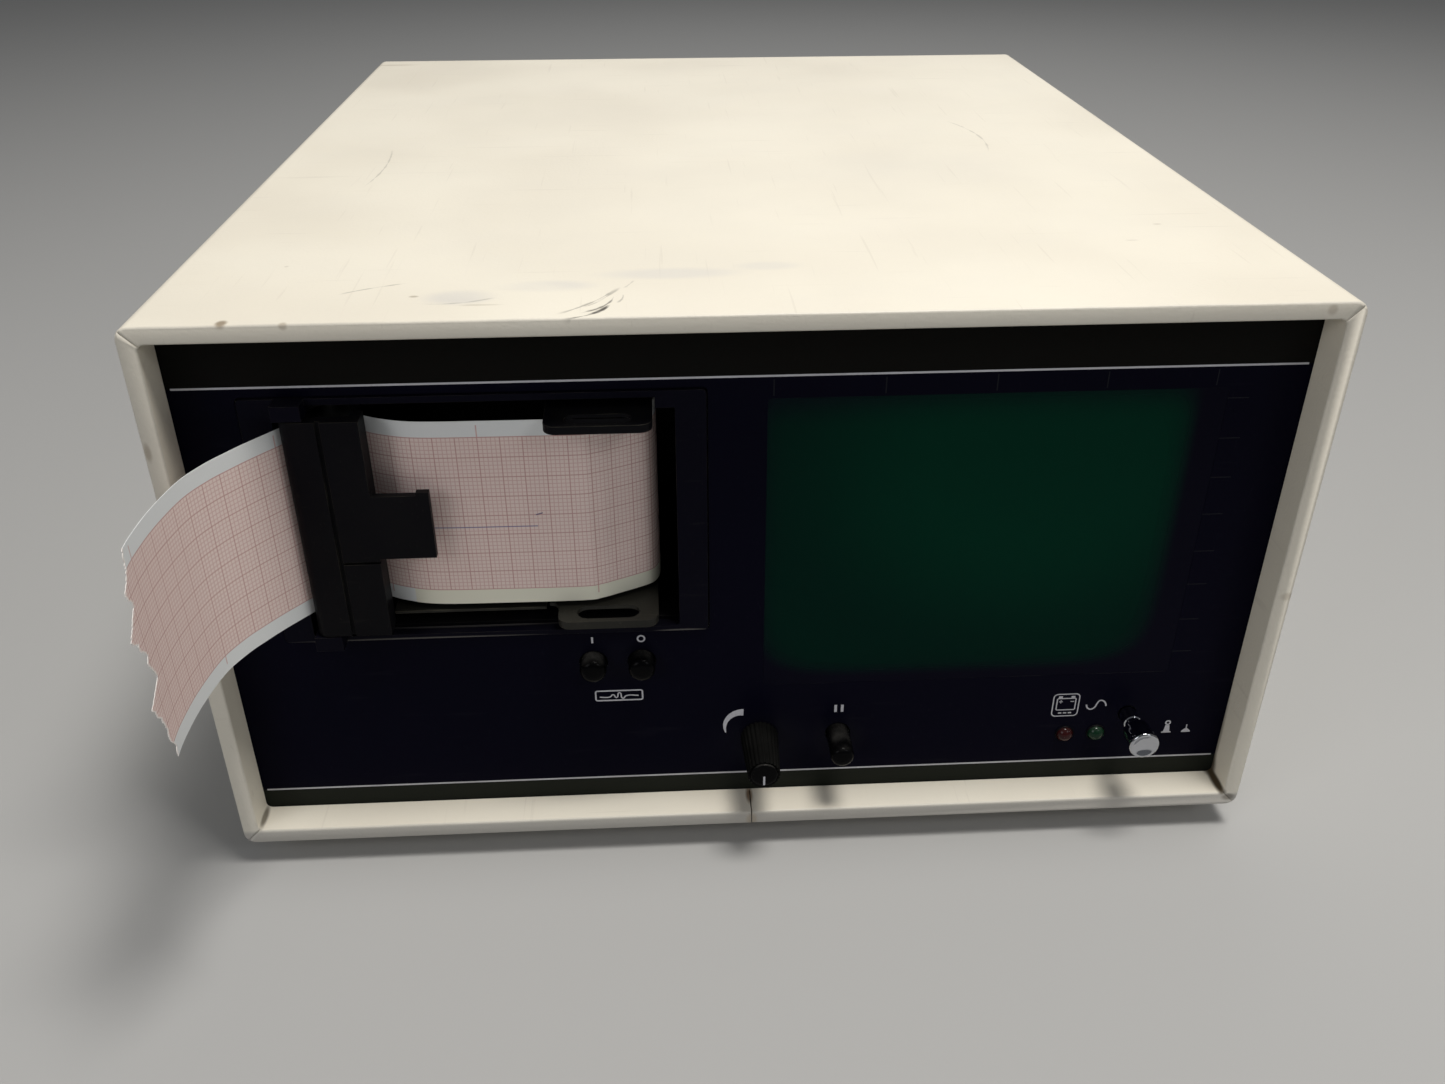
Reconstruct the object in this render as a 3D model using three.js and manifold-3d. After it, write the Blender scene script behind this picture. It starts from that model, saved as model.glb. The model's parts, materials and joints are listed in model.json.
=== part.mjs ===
// A portable heart monitor for stress tests: a small screen and a chart recorder in one steel case.
// Millimetres, +Z up. The front faces -Y, and the object stands on four rubber feet.
import * as THREE from "three";
import { mergeVertices } from "three/addons/utils/BufferGeometryUtils.js";
import Module from "manifold-3d";

const wasm = await Module();
wasm.setup();

// Clearances shared by all pieces
const seatGap = 0.2;
const fitGap = 0.3;
const runGap = 0.1;
const cutOver = 5;

// Case sleeve
const caseWidth = 260;
const caseDepth = 300;
const caseHeight = 140;
const caseWall = 1.5;
const caseBend = 3;
const rimFace = 4;
const rimDepth = 9.4;
const rearRimDepth = 6;

// Feet and their screws
const footHeight = 7;
const footRadius = 9;
const footBaseRadius = 8;
const footInsetX = 30;
const footInsetY = 30;
const footRecessRadius = 4.2;
const footRecessDepth = 4;
const screwRadius = 2;
const screwHeadRadius = 3.7;
const screwHeadHeight = 2.4;
const screwSocketRadius = 1.6;
const screwSocketDepth = 1.2;
const screwTail = 4;

// Chassis tray and the two panels
const trayWall = 1.5;
const trayMargin = 1.2;
const trayLip = 18;
const panelMargin = 0.5;
const overlayThickness = 0.6;
const panelThickness = 2;
const windowLap = 2;
const rearRecess = 12;

// Screen window and picture tube
const screenGap = 14;
const screenMarginRight = 22;
const screenMarginTop = 23.5;
const controlsBand = 38;
const windowCorner = 1;
const tubeShiftX = 3;
const tubeShiftZ = 3.25;
const tubeTuck = 1.5;
const tubeCorner = 12;
const tubeBow = 3;
const tubeFaceGap = 3.6;
const tubeFaceRadius = 260;
const tubeRimDepth = 10;
const funnelDepth = 78;
const neckRadius = 10.5;
const neckLength = 80;
const neckRound = 3;
const tubeDiagonalShare = 0.945;
const tubeFrameBorder = 4;
const tubeFrameThickness = 2;
const tubeFrameSetback = 14;
const tubeFramePost = 3;
const yokeRadius = 23;
const yokeLength = 24;
const yokeSetback = 18;
const yokeWaist = 4;
const neckBoardSize = 42;
const boardThickness = 1.6;
const socketRadius = 14;
const socketDepth = 9;

// Volume knob
const knobSetLeft = 1;
const knobZ = 21.5;
const knobRadius = 4.9;
const knobFaceRadius = 3.7;
const knobReach = 15.9;
const knobStandoff = 0.5;
const knobFaceRound = 0.9;
const knobBoreDepth = 10;
const knobFlutes = 12;
const fluteDepth = 0.45;
const potShaftRadius = 3;
const potShaftTail = 8;
const potRadius = 8;
const potDepth = 11;
const potBushRadius = 3.9;

// Push buttons beside the knob and under the recorder
const freezeSetRight = 19.5;
const freezeZ = 21.5;
const freezeRadius = 3;
const freezeReach = 10.8;
const freezeTravel = 2.5;
const runSetRight = 22.4;
const offSetRight = 34.4;
const recorderButtonDrop = 42.5;
const recorderButtonRadius = 3.3;
const recorderButtonReach = 5;
const recorderButtonTravel = 2;
const buttonEdge = 0.8;
const buttonCollar = 0.9;
const buttonShankRadius = 1.6;
const buttonShankTail = 9;
const switchSetback = 2.2;
const switchDepth = 18;
const switchSize = 12;

// Power button
const powerSetLeft = 8.2;
const powerZ = 24.5;
const powerCapRadius = 3.8;
const powerCapFace = 13.6;
const powerCapLength = 7;
const powerCapDish = 1;
const powerCapBore = 4;
const powerShaftRadius = 2.2;
const powerShaftTail = 20;
const powerTravel = 5;
const powerSwitchSetback = 13;
const powerSwitchDepth = 26;
const powerSwitchWidth = 8.4;
const powerSwitchHeight = 10;

// Indicator lamps
const redLampSetLeft = 24.1;
const greenLampSetLeft = 15.8;
const lampZ = 18.5;
const lampRadius = 2.2;
const lampReach = 2;
const lampFlange = 2.9;
const lampFlangeDepth = 1;
const lampTail = 8;
const lampLead = 1.5;

// Chart recorder, measured from the middle of its bezel, the panel's face and the middle of the paper
const recorderInset = 69;
const recorderDrop = 51;
const bezelWidth = 102;
const bezelTop = 30.6;
const bezelBottom = -33.2;
const bezelProud = 0.6;
const bezelThickness = 3.2;
const bezelCorner = 1;
const mouthWidth = 88;
const mouthTop = 29;
const lintelDrop = 2.6;
const lintelGap = 0.6;
const mouthBottom = -31.8;
const housingLeft = -45.5;
const housingRight = 50.5;
const housingTop = 29;
const housingBottom = -31;
const housingBack = 54.4;
const housingWall = 1.5;

// Chart paper: one sheet from the roll, across the window, behind the gate and out to the front
const paperWidth = 48;
const paperThickness = 0.2;
const paperGap = 0.3;
const webFront = 0.2;
const stripReach = 58;
const stripDrift = 15.6;
const tearDepth = 7.4;

// Paper roll
const rollX = 27.7;
const rollY = 27;
const rollRadius = 11.55;
const coreRadius = 8;
const coreBore = 6.2;
const coreInset = 0.2;

// Roll arms
const armX = 27;
const armWidth = 24;
const armFront = -7;
const armThickness = 1;
const armLip = 2;
const armLipWidth = 1.6;
const armLipEnd = -1.2;
const armGap = 0.4;
const armLowDrop = 2.2;
const armCorner = 3;
const armSlotLength = 15;
const armSlotWidth = 5.4;
const armSlotY = -2.8;
const upperSlotWidth = 4.6;
const upperSlotY = -3.1;
const upperRibBack = -0.15;
const upperRibWall = 0.6;
const upperRibDepth = 2.2;
const armHingeY = 51.6;
const armKnuckle = 2.2;
const armPinRadius = 1;
const armLugWidth = 3;
const armStubRadius = 5.4;
const armStubReach = 1.2;
const armFlare = 2.4;
const armFlareStart = 2.2;
const armFlareEnd = 12;

// Paper gate and its print head
const gatePinX = -39.6;
const gatePinY = -2.2;
const gatePinRadius = 1.25;
const gateBarrel = 2.5;
const gateTop = 26.7;
const gateBottom = -29;
const gateWidth = 15.1;
const gateWall = 3.1;
const gateRib = 2.5;
const gateRibDepth = 6;
const gateGrooveX = 6.2;
const gateGrooveWidth = 1;
const gateGrooveDepth = 0.8;
const gateSeamZ = -9;
const gateSeamWidth = 0.6;
const tabReach = 28.1;
const tabTop = 9;
const tabBottom = -8;
const tabThickness = 1.8;
const noseX = 6.9;
const noseY = 4.3;
const noseRadius = 5.6;
const headOverhang = 1.5;
const earWidth = 6.4;

// Paper drive
const platenRadius = 7;
const platenTurn = 103;
const wrapTurn = 40;
const platenOverhang = 1;
const platenShaftRadius = 2;
const gearModule = 1;
const platenTeeth = 20;
const idlerTeeth = 30;
const pinionTeeth = 10;
const gearThickness = 4;
const gearTop = -36;
const idlerTurn = 50;
const pinionTurn = 20;
const toothTipShare = 0.2;
const toothRootShare = 0.64;
const addendumShare = 0.9;
const dedendumShare = 1.2;
const drivePlateGap = 3;
const drivePlateWall = 1.5;
const drivePlateLeft = -51;
const drivePlateRight = 16;
const drivePlateFront = 6;
const drivePlateBack = 60;
const drivePostRadius = 3;
const idlerStudRadius = 2;
const motorRadius = 14;
const motorClearance = 9.1;
const motorShaftRadius = 1.2;
const motorBoreDepth = 5;

// Boards and supply inside the case
const mainBoardMarginLeft = 86;
const mainBoardMarginRight = 22;
const mainBoardDepth = 95;
const mainBoardGap = 8;
const mainBoardLift = 5;
const chipWidth = 8;
const chipLength = 18;
const chipHeight = 3.5;
const chipColumns = 4;
const chipRows = 2;
const chipPitch = 26;
const capRadius = 5;
const capHeight = 12;
const deflectionFront = 50;
const deflectionBack = 190;
const deflectionDrop = 22;
const deflectionGap = 4;
const flybackWidth = 22;
const flybackDepth = 28;
const flybackHeight = 34;
const flybackDrop = 24;
const heatSinkDepth = 40;
const heatSinkReach = 9;
const heatSinkHeight = 26;
const heatSinkDrop = 8;
const supplyGap = 25;
const coreLaminationWidth = 44;
const coreLaminationDepth = 52;
const coreLaminationHeight = 46;
const coilOverhang = 8;
const coilHeight = 30;
const transformerInset = 52;
const batteryInset = 64;
const batteryWidth = 90;
const batteryDepth = 66;
const batteryHeight = 62;
const terminalSize = 5;
const strapWidth = 16;
const strapThickness = 1.2;
const strapFoot = 12;

// Rear fittings
const speakerInset = 55;
const speakerDrop = 38;
const speakerRadius = 27;
const speakerConeRadius = 14;
const speakerDepth = 16;
const speakerMagnetRadius = 16;
const speakerRimDepth = 3;
const slotCount = 7;
const slotWidth = 3;
const slotPitch = 7;
const slotLength = 34;
const ventInset = 52;
const ventRise = 42;
const inletInset = 34;
const inletDrop = 40;
const inletWidth = 27;
const inletHeight = 19.5;
const inletDepth = 24;
const inletFlangeWidth = 34;
const inletFlangeHeight = 26;
const inletFlange = 3;
const inletWall = 2;
const inletCavity = 16;
const inletPinWidth = 2;
const inletPinHeight = 4;
const inletPinPitch = 7;
const inletPinLift = 2;
const fuseSetLeft = 38;
const fuseCapRadius = 7.5;
const fuseCapDepth = 7;
const fuseBodyRadius = 6;
const fuseBodyDepth = 30;
const patientSetLeft = 10;
const patientDrop = 80;
const patientRadius = 12;
const patientReach = 6;
const patientBore = 8;
const patientBodyRadius = 10;
const patientDepth = 18;
const patientFloor = 3;

// Facets: how many sides round pieces get
const roundSides = 24;
const largeSides = 32;
const smallSides = 16;
const cornerSteps = 3;
const webSteps = 39;
const wrapSteps = 7;
const stripSteps = 20;

// Places that follow from the sizes above
const panelFace = rimDepth + seatGap;
const panelBack = overlayThickness + seatGap + panelThickness;
const rearPanelFace = caseDepth - rearRecess;
const rearPanelInside = rearPanelFace - panelThickness;
const trayBottom = caseWall + seatGap;
const trayTop = trayBottom + trayWall;
const trayHalf = caseWidth / 2 - caseWall - trayMargin;
const footX = caseWidth / 2 - footInsetX;
const footPlaces = {
  front_left: [-footX, footInsetY],
  front_right: [footX, footInsetY],
  rear_left: [-footX, caseDepth - footInsetY],
  rear_right: [footX, caseDepth - footInsetY],
};
const recorderX = -caseWidth / 2 + recorderInset;
const paperZ = caseHeight - recorderDrop;
const windowLeft = recorderX + bezelWidth / 2 + screenGap;
const windowRight = caseWidth / 2 - screenMarginRight;
const windowTop = caseHeight - screenMarginTop;
const tubeWidth = windowRight - windowLeft;
const tubeHeight = windowTop - controlsBand + tubeTuck;
const tubeDiagonalRadius = (tubeDiagonalShare * Math.hypot(tubeWidth, tubeHeight)) / 2;
const screenX = (windowLeft + windowRight) / 2 - tubeShiftX;
const screenZ = (controlsBand + windowTop) / 2 - tubeShiftZ;
const tubeFrameWidth = tubeWidth + 2 * tubeFrameBorder;
const tubeFrameHeight = tubeHeight + 2 * tubeFrameBorder;
const knobX = windowLeft - knobSetLeft;
const freezeX = windowLeft + freezeSetRight;
const runX = recorderX + runSetRight;
const offX = recorderX + offSetRight;
const recorderButtonZ = paperZ - recorderButtonDrop;
const powerX = windowRight - powerSetLeft;
const lampRedX = windowRight - redLampSetLeft;
const lampGreenX = windowRight - greenLampSetLeft;
const speakerX = -caseWidth / 2 + speakerInset;
const speakerZ = caseHeight - speakerDrop;
const inletX = caseWidth / 2 - inletInset;
const inletZ = caseHeight - inletDrop;
const fuseX = inletX - fuseSetLeft;
const patientX = -patientSetLeft;
const patientZ = caseHeight - patientDrop;
const supplyBack = rearPanelInside - supplyGap;
const noseCentre = new THREE.Vector2(gatePinX + noseX, gatePinY + noseY);
const wrapRadius = noseRadius + paperGap + paperThickness / 2;
const degrees = THREE.MathUtils.degToRad;
const platenStep = wrapRadius + paperThickness / 2 + paperGap + platenRadius;
const platenCentre = polar(platenStep, degrees(platenTurn)).add(noseCentre);
const idlerStep = (gearModule * (platenTeeth + idlerTeeth)) / 2;
const idlerCentre = polar(idlerStep, degrees(idlerTurn)).add(platenCentre);
const pinionStep = (gearModule * (idlerTeeth + pinionTeeth)) / 2;
const pinionCentre = polar(pinionStep, degrees(pinionTurn)).add(idlerCentre);
const gearBottom = gearTop - gearThickness;
const drivePlateTop = gearBottom - drivePlateGap;
const drivePlateBottom = drivePlateTop - drivePlateWall;
const housingFloor = housingBottom - housingWall;
const upperArmZ = paperWidth / 2 + armGap;
const lowerArmZ = -paperWidth / 2 - armLowDrop - armGap;

function polar(radius, angle) {
  return new THREE.Vector2(radius * Math.cos(angle), radius * Math.sin(angle));
}

// A closed three.js geometry as a solid that can be cut and joined
function solidOf(geometry) {
  const bare = geometry.clone();
  bare.deleteAttribute("normal");
  bare.deleteAttribute("uv");
  const merged = mergeVertices(bare);
  const corners = merged.index.array;
  const kept = [];
  for (let i = 0; i < corners.length; i += 3) {
    const [a, b, c] = corners.slice(i, i + 3);
    if (a !== b && b !== c && c !== a) kept.push(a, b, c);
  }
  const vertProperties = merged.attributes.position.array;
  return new wasm.Manifold(new wasm.Mesh({ numProp: 3, vertProperties, triVerts: new Uint32Array(kept) }));
}

function geometryOf(solid) {
  const { vertProperties, triVerts } = solid.getMesh();
  const geometry = new THREE.BufferGeometry();
  geometry.setAttribute("position", new THREE.BufferAttribute(vertProperties, 3));
  geometry.setIndex(new THREE.BufferAttribute(triVerts, 1));
  return geometry;
}

const asSolid = (body) => (body.isBufferGeometry ? solidOf(body) : body);
const join = (first, ...others) =>
  others.reduce((sum, body) => sum.add(asSolid(body)), asSolid(first));
const cut = (first, ...others) =>
  others.reduce((rest, body) => rest.subtract(asSolid(body)), asSolid(first));
const overlap = (first, second) => asSolid(first).intersect(asSolid(second));

// A block between two corners
function block([x0, y0, z0], [x1, y1, z1]) {
  const box = new THREE.BoxGeometry(x1 - x0, y1 - y0, z1 - z0);
  return box.translate((x0 + x1) / 2, (y0 + y1) / 2, (z0 + z1) / 2);
}

// A solid of revolution round the vertical axis, from pairs of radius and height
function turned(profile, sides = roundSides) {
  return turnedBack(profile, sides).rotateX(Math.PI / 2);
}

// A solid of revolution round an axis that runs from front to rear, from pairs of radius and depth
function turnedBack(profile, sides = roundSides) {
  return new THREE.LatheGeometry(
    profile.map(([radius, depth]) => new THREE.Vector2(radius, depth)),
    sides,
  );
}

const rodProfile = (radius, from, to) => [[0, from], [radius, from], [radius, to], [0, to]];
const ringProfile = (inner, outer, from, to) => [
  [inner, from],
  [outer, from],
  [outer, to],
  [inner, to],
  [inner, from],
];

// A flat outline drawn in x and z, with its front face at y = 0 and its thickness towards the rear
function plate(outline, thickness) {
  const geometry = new THREE.ExtrudeGeometry(outline, {
    depth: thickness,
    bevelEnabled: false,
    curveSegments: cornerSteps,
  });
  return geometry.rotateX(Math.PI / 2).translate(0, thickness, 0);
}

// A plan outline drawn in x and y, raised between two heights
function prism(outline, bottom, top) {
  const geometry = new THREE.ExtrudeGeometry(outline, {
    depth: top - bottom,
    bevelEnabled: false,
    curveSegments: cornerSteps,
  });
  return geometry.translate(0, 0, bottom);
}

// A rectangle with rounded corners, from its left, right, bottom and top
function rounded(left, right, bottom, top, radius) {
  const outline = new THREE.Shape();
  outline.moveTo(left + radius, bottom);
  outline.lineTo(right - radius, bottom);
  outline.absarc(right - radius, bottom + radius, radius, -Math.PI / 2, 0);
  outline.lineTo(right, top - radius);
  outline.absarc(right - radius, top - radius, radius, 0, Math.PI / 2);
  outline.lineTo(left + radius, top);
  outline.absarc(left + radius, top - radius, radius, Math.PI / 2, Math.PI);
  outline.lineTo(left, bottom + radius);
  outline.absarc(left + radius, bottom + radius, radius, Math.PI, (3 * Math.PI) / 2);
  return outline;
}

function paint(color, roughness, metalness = 0) {
  return () => new THREE.MeshStandardMaterial({ color, roughness, metalness });
}
const cream = paint(0xdfdccb, 0.45);
const darkPanel = paint(0x15161f, 0.55);
const blackPlastic = paint(0x141414, 0.5);
const rubber = paint(0x1b1b1b, 0.9);
const greenGlass = paint(0x0f5a30, 0.15);
const tubeGlass = paint(0x3c4a40, 0.2);
const steel = paint(0xb4b6b8, 0.35, 0.9);
const chrome = paint(0xe4e6e8, 0.12, 1);
const zincPlate = paint(0xa9aaa2, 0.5, 0.8);
const boardGreen = paint(0x2c5a36, 0.6);
const copper = paint(0x9a5a34, 0.45, 0.7);
const paperPink = paint(0xf0dcd8, 0.85);
const paperWhite = paint(0xece8dc, 0.9);
const whitePlastic = paint(0xdcdcd4, 0.5);
const redLens = paint(0x7a1c1a, 0.25);
const greenLens = paint(0x1f6b38, 0.25);

const monitor = new THREE.Group();

function place(parent, x, y, z) {
  const group = new THREE.Group();
  group.position.set(x, y, z);
  parent.add(group);
  return group;
}

function piece(group, name, body, finish) {
  const geometry = body.isBufferGeometry ? body : geometryOf(body);
  const mesh = new THREE.Mesh(geometry, finish());
  mesh.name = name;
  group.add(mesh);
  return mesh;
}

// Where the recorder, the window and the controls pass through the panels
const controlHoles = [
  [knobX, knobZ, potBushRadius + fitGap],
  [freezeX, freezeZ, freezeRadius + fitGap],
  [runX, recorderButtonZ, recorderButtonRadius + fitGap],
  [offX, recorderButtonZ, recorderButtonRadius + fitGap],
  [powerX, powerZ, powerShaftRadius + fitGap],
  [lampRedX, lampZ, lampRadius + fitGap],
  [lampGreenX, lampZ, lampRadius + fitGap],
];
const holeCuts = controlHoles.map(([x, z, radius]) =>
  turnedBack(rodProfile(radius, -cutOver, panelBack + cutOver), smallSides).translate(x, 0, z),
);
const windowOutline = (gap) =>
  rounded(windowLeft - gap, windowRight + gap, controlsBand - gap, windowTop + gap, windowCorner);
const bezelOutline = (gap) =>
  rounded(
    -bezelWidth / 2 - gap,
    bezelWidth / 2 + gap,
    bezelBottom - gap,
    bezelTop + gap,
    bezelCorner,
  );
const through = (outline) => plate(outline, panelBack + 2 * cutOver).translate(0, -cutOver, 0);
const recorderCut = through(bezelOutline(fitGap)).translate(recorderX, 0, paperZ);

makeCase();
makePanels();
makeScreen();
makeControls();
makeRecorder();
makeInside();
makeRearFittings();

// The finished model stands on its feet, with its bounding box centred on the vertical axis
const reach = new THREE.Box3().setFromObject(monitor);
const middle = reach.getCenter(new THREE.Vector3());
monitor.position.set(-middle.x, -middle.y, -reach.min.z);

function makeCase() {
  const half = caseWidth / 2;
  const inner = (wall) => rounded(-half + wall, half - wall, wall, caseHeight - wall, caseBend / 2);
  const outer = plate(rounded(-half, half, 0, caseHeight, caseBend), caseDepth);
  const rear = caseDepth - rearRimDepth;
  const hollow = plate(inner(caseWall), rear - rimDepth).translate(0, rimDepth, 0);
  const mouth = plate(inner(rimFace), caseDepth + 2 * cutOver).translate(0, -cutOver, 0);
  const holes = Object.values(footPlaces).map(([x, y]) =>
    turned(rodProfile(screwRadius + fitGap, -cutOver, cutOver), smallSides).translate(x, y, 0),
  );
  piece(monitor, "case_sleeve", cut(outer, hollow, mouth, ...holes), cream);

  const front = panelFace + panelBack + seatGap;
  const back = rearPanelInside - seatGap;
  const tray = block([-trayHalf, front, trayBottom], [trayHalf, back, trayBottom + trayLip]);
  const trayHollow = block(
    [-trayHalf + trayWall, front + trayWall, trayTop],
    [trayHalf - trayWall, back - trayWall, trayBottom + trayLip + cutOver],
  );
  const controlNotches = controlHoles.map(([x, z]) =>
    block(
      [x - potRadius - fitGap, front - cutOver, z - potRadius - fitGap],
      [x + potRadius + fitGap, front + trayWall + cutOver, z + potRadius + cutOver],
    ),
  );
  piece(monitor, "chassis_tray", cut(tray, trayHollow, ...controlNotches, ...holes), zincPlate);

  for (const [corner, [x, y]] of Object.entries(footPlaces)) {
    const foot = turned([
      [screwRadius + fitGap, 0],
      [screwRadius + fitGap, -footHeight + footRecessDepth],
      [footRecessRadius, -footHeight + footRecessDepth],
      [footRecessRadius, -footHeight],
      [footBaseRadius, -footHeight],
      [footRadius, 0],
      [screwRadius + fitGap, 0],
    ]);
    piece(monitor, "foot_" + corner, foot, rubber).position.set(x, y, -seatGap);
    const headTop = -footHeight + footRecessDepth - seatGap;
    const screw = turned(
      [
        [0, headTop - screwHeadHeight + screwSocketDepth],
        [screwSocketRadius, headTop - screwHeadHeight + screwSocketDepth],
        [screwSocketRadius, headTop - screwHeadHeight],
        [screwHeadRadius, headTop - screwHeadHeight],
        [screwHeadRadius, headTop],
        [screwRadius, headTop],
        [screwRadius, trayTop + screwTail],
        [0, trayTop + screwTail],
      ],
      smallSides,
    );
    piece(monitor, "foot_screw_" + corner, screw, steel).position.set(x, y, -seatGap);
  }
}

function makePanels() {
  const half = caseWidth / 2 - caseWall - panelMargin;
  const sheet = rounded(
    -half,
    half,
    caseWall + panelMargin,
    caseHeight - caseWall - panelMargin,
    caseBend / 2,
  );
  const panels = place(monitor, 0, panelFace, 0);
  const film = plate(sheet, overlayThickness);
  const overlay = cut(film, through(windowOutline(fitGap)), recorderCut, ...holeCuts);
  piece(panels, "front_overlay", overlay, darkPanel);
  const frontSheet = plate(sheet, panelThickness).translate(0, overlayThickness + seatGap, 0);
  const tubeCut = through(windowOutline(-windowLap));
  piece(panels, "front_panel", cut(frontSheet, tubeCut, recorderCut, ...holeCuts), zincPlate);
  piece(panels, "screen_window", plate(windowOutline(0), overlayThickness), greenGlass);

  const rear = place(monitor, 0, rearPanelInside, 0);
  const inletHole = block(
    [inletX - inletWidth / 2 - fitGap, -cutOver, inletZ - inletHeight / 2 - fitGap],
    [inletX + inletWidth / 2 + fitGap, cutOver, inletZ + inletHeight / 2 + fitGap],
  );
  const fuseHole = turnedBack(rodProfile(fuseBodyRadius + fitGap, -cutOver, cutOver), smallSides);
  const patientHole = turnedBack(rodProfile(patientBodyRadius + fitGap, -cutOver, cutOver), smallSides);
  piece(
    rear,
    "rear_panel",
    cut(
      plate(sheet, panelThickness),
      inletHole,
      fuseHole.translate(fuseX, 0, inletZ),
      patientHole.translate(patientX, 0, patientZ),
      ...rearSlots(speakerX, speakerZ),
      ...rearSlots(caseWidth / 2 - ventInset, ventRise),
    ),
    zincPlate,
  );
}

// A row of upright slots through the rear panel, centred on one place
function rearSlots(x, z) {
  return Array.from({ length: slotCount }, (_, i) => {
    const middleX = x + (i - (slotCount - 1) / 2) * slotPitch;
    return block(
      [middleX - slotWidth / 2, -cutOver, z - slotLength / 2],
      [middleX + slotWidth / 2, cutOver, z + slotLength / 2],
    );
  });
}

// The picture tube's face has four sides that bow outwards and round corners
function tubeOutline(gap) {
  const w = tubeWidth / 2 + gap;
  const h = tubeHeight / 2 + gap;
  const r = tubeCorner;
  const outline = new THREE.Shape();
  const sideX = w - tubeBow;
  const sideZ = h - tubeBow;
  outline.moveTo(-sideX + r, -sideZ);
  outline.quadraticCurveTo(0, -h - tubeBow, sideX - r, -sideZ);
  outline.quadraticCurveTo(sideX, -sideZ, sideX, -sideZ + r);
  outline.quadraticCurveTo(w + tubeBow, 0, sideX, sideZ - r);
  outline.quadraticCurveTo(sideX, sideZ, sideX - r, sideZ);
  outline.quadraticCurveTo(0, h + tubeBow, -sideX + r, sideZ);
  outline.quadraticCurveTo(-sideX, sideZ, -sideX, sideZ - r);
  outline.quadraticCurveTo(-w - tubeBow, 0, -sideX, -sideZ + r);
  outline.quadraticCurveTo(-sideX, -sideZ, -sideX + r, -sideZ);
  return outline;
}

function makeScreen() {
  const tubeFace = overlayThickness + tubeFaceGap;
  const tube = place(monitor, screenX, panelFace + tubeFace, screenZ);
  const dome = (radius) => tubeFaceRadius - Math.sqrt(tubeFaceRadius ** 2 - radius ** 2);
  const faceShares = [0, 0.3, 0.6, 0.85, 1];
  const face = faceShares.map((share) => [share * tubeDiagonalRadius, dome(share * tubeDiagonalRadius)]);
  const rim = dome(tubeDiagonalRadius) + tubeRimDepth;
  const funnelShares = [
    [1, 0],
    [0.94, 0.18],
    [0.72, 0.5],
    [0.4, 0.8],
    [0.16, 0.95],
    [0, 1],
  ];
  const funnel = funnelShares.map(([wide, deep]) => [
    neckRadius + (tubeDiagonalRadius - neckRadius) * wide,
    rim + funnelDepth * deep,
  ]);
  const neckEnd = rim + funnelDepth + neckLength;
  const neck = [
    [neckRadius, neckEnd - neckRound],
    [neckRadius - neckRound, neckEnd],
    [0, neckEnd],
  ];
  const glass = turnedBack([...face, ...funnel, ...neck], largeSides);
  const envelope = plate(tubeOutline(0), neckEnd + 2 * cutOver).translate(0, -cutOver, 0);
  piece(tube, "crt_tube", overlap(glass, envelope), tubeGlass);

  const ringOutline = rounded(
    -tubeFrameWidth / 2,
    tubeFrameWidth / 2,
    -tubeFrameHeight / 2,
    tubeFrameHeight / 2,
    tubeFramePost,
  );
  const ring = plate(ringOutline, tubeFrameThickness).translate(0, tubeFrameSetback, 0);
  const opening = plate(tubeOutline(fitGap), neckEnd).translate(0, -cutOver, 0);
  const postX = tubeFrameWidth / 2 - tubeFramePost;
  const postZ = tubeFrameHeight / 2 - tubeFramePost;
  const postFront = panelBack + seatGap - tubeFace;
  const postProfile = rodProfile(tubeFramePost, postFront, tubeFrameSetback + tubeFrameThickness);
  const posts = [-1, 1].flatMap((side) =>
    [-1, 1].map((end) => turnedBack(postProfile, smallSides).translate(side * postX, 0, end * postZ)),
  );
  piece(tube, "crt_frame", cut(join(ring, ...posts), opening), zincPlate);

  const yokeFront = rim + funnelDepth + yokeSetback;
  const yokeInner = neckRadius + fitGap;
  const yoke = turnedBack([
    [yokeInner, yokeFront],
    [yokeRadius, yokeFront],
    [yokeRadius, yokeFront + yokeWaist],
    [yokeRadius - yokeWaist, yokeFront + 2 * yokeWaist],
    [yokeRadius - yokeWaist, yokeFront + yokeLength - yokeWaist],
    [yokeRadius, yokeFront + yokeLength],
    [yokeInner, yokeFront + yokeLength],
    [yokeInner, yokeFront],
  ]);
  piece(tube, "deflection_yoke", yoke, copper);

  const boardHalf = neckBoardSize / 2;
  const boardFront = neckEnd + fitGap + socketDepth - boardThickness;
  const neckBoard = block(
    [-boardHalf, boardFront, -boardHalf],
    [boardHalf, boardFront + boardThickness, boardHalf],
  );
  const socketFront = neckEnd - socketDepth / 2;
  const socketCup = turnedBack([
    [neckRadius + fitGap, socketFront],
    [socketRadius, socketFront],
    [socketRadius, boardFront],
    [0, boardFront],
    [0, neckEnd + fitGap],
    [neckRadius + fitGap, neckEnd + fitGap],
    [neckRadius + fitGap, socketFront],
  ]);
  piece(tube, "neck_board", join(neckBoard, socketCup), boardGreen);
}

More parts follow.
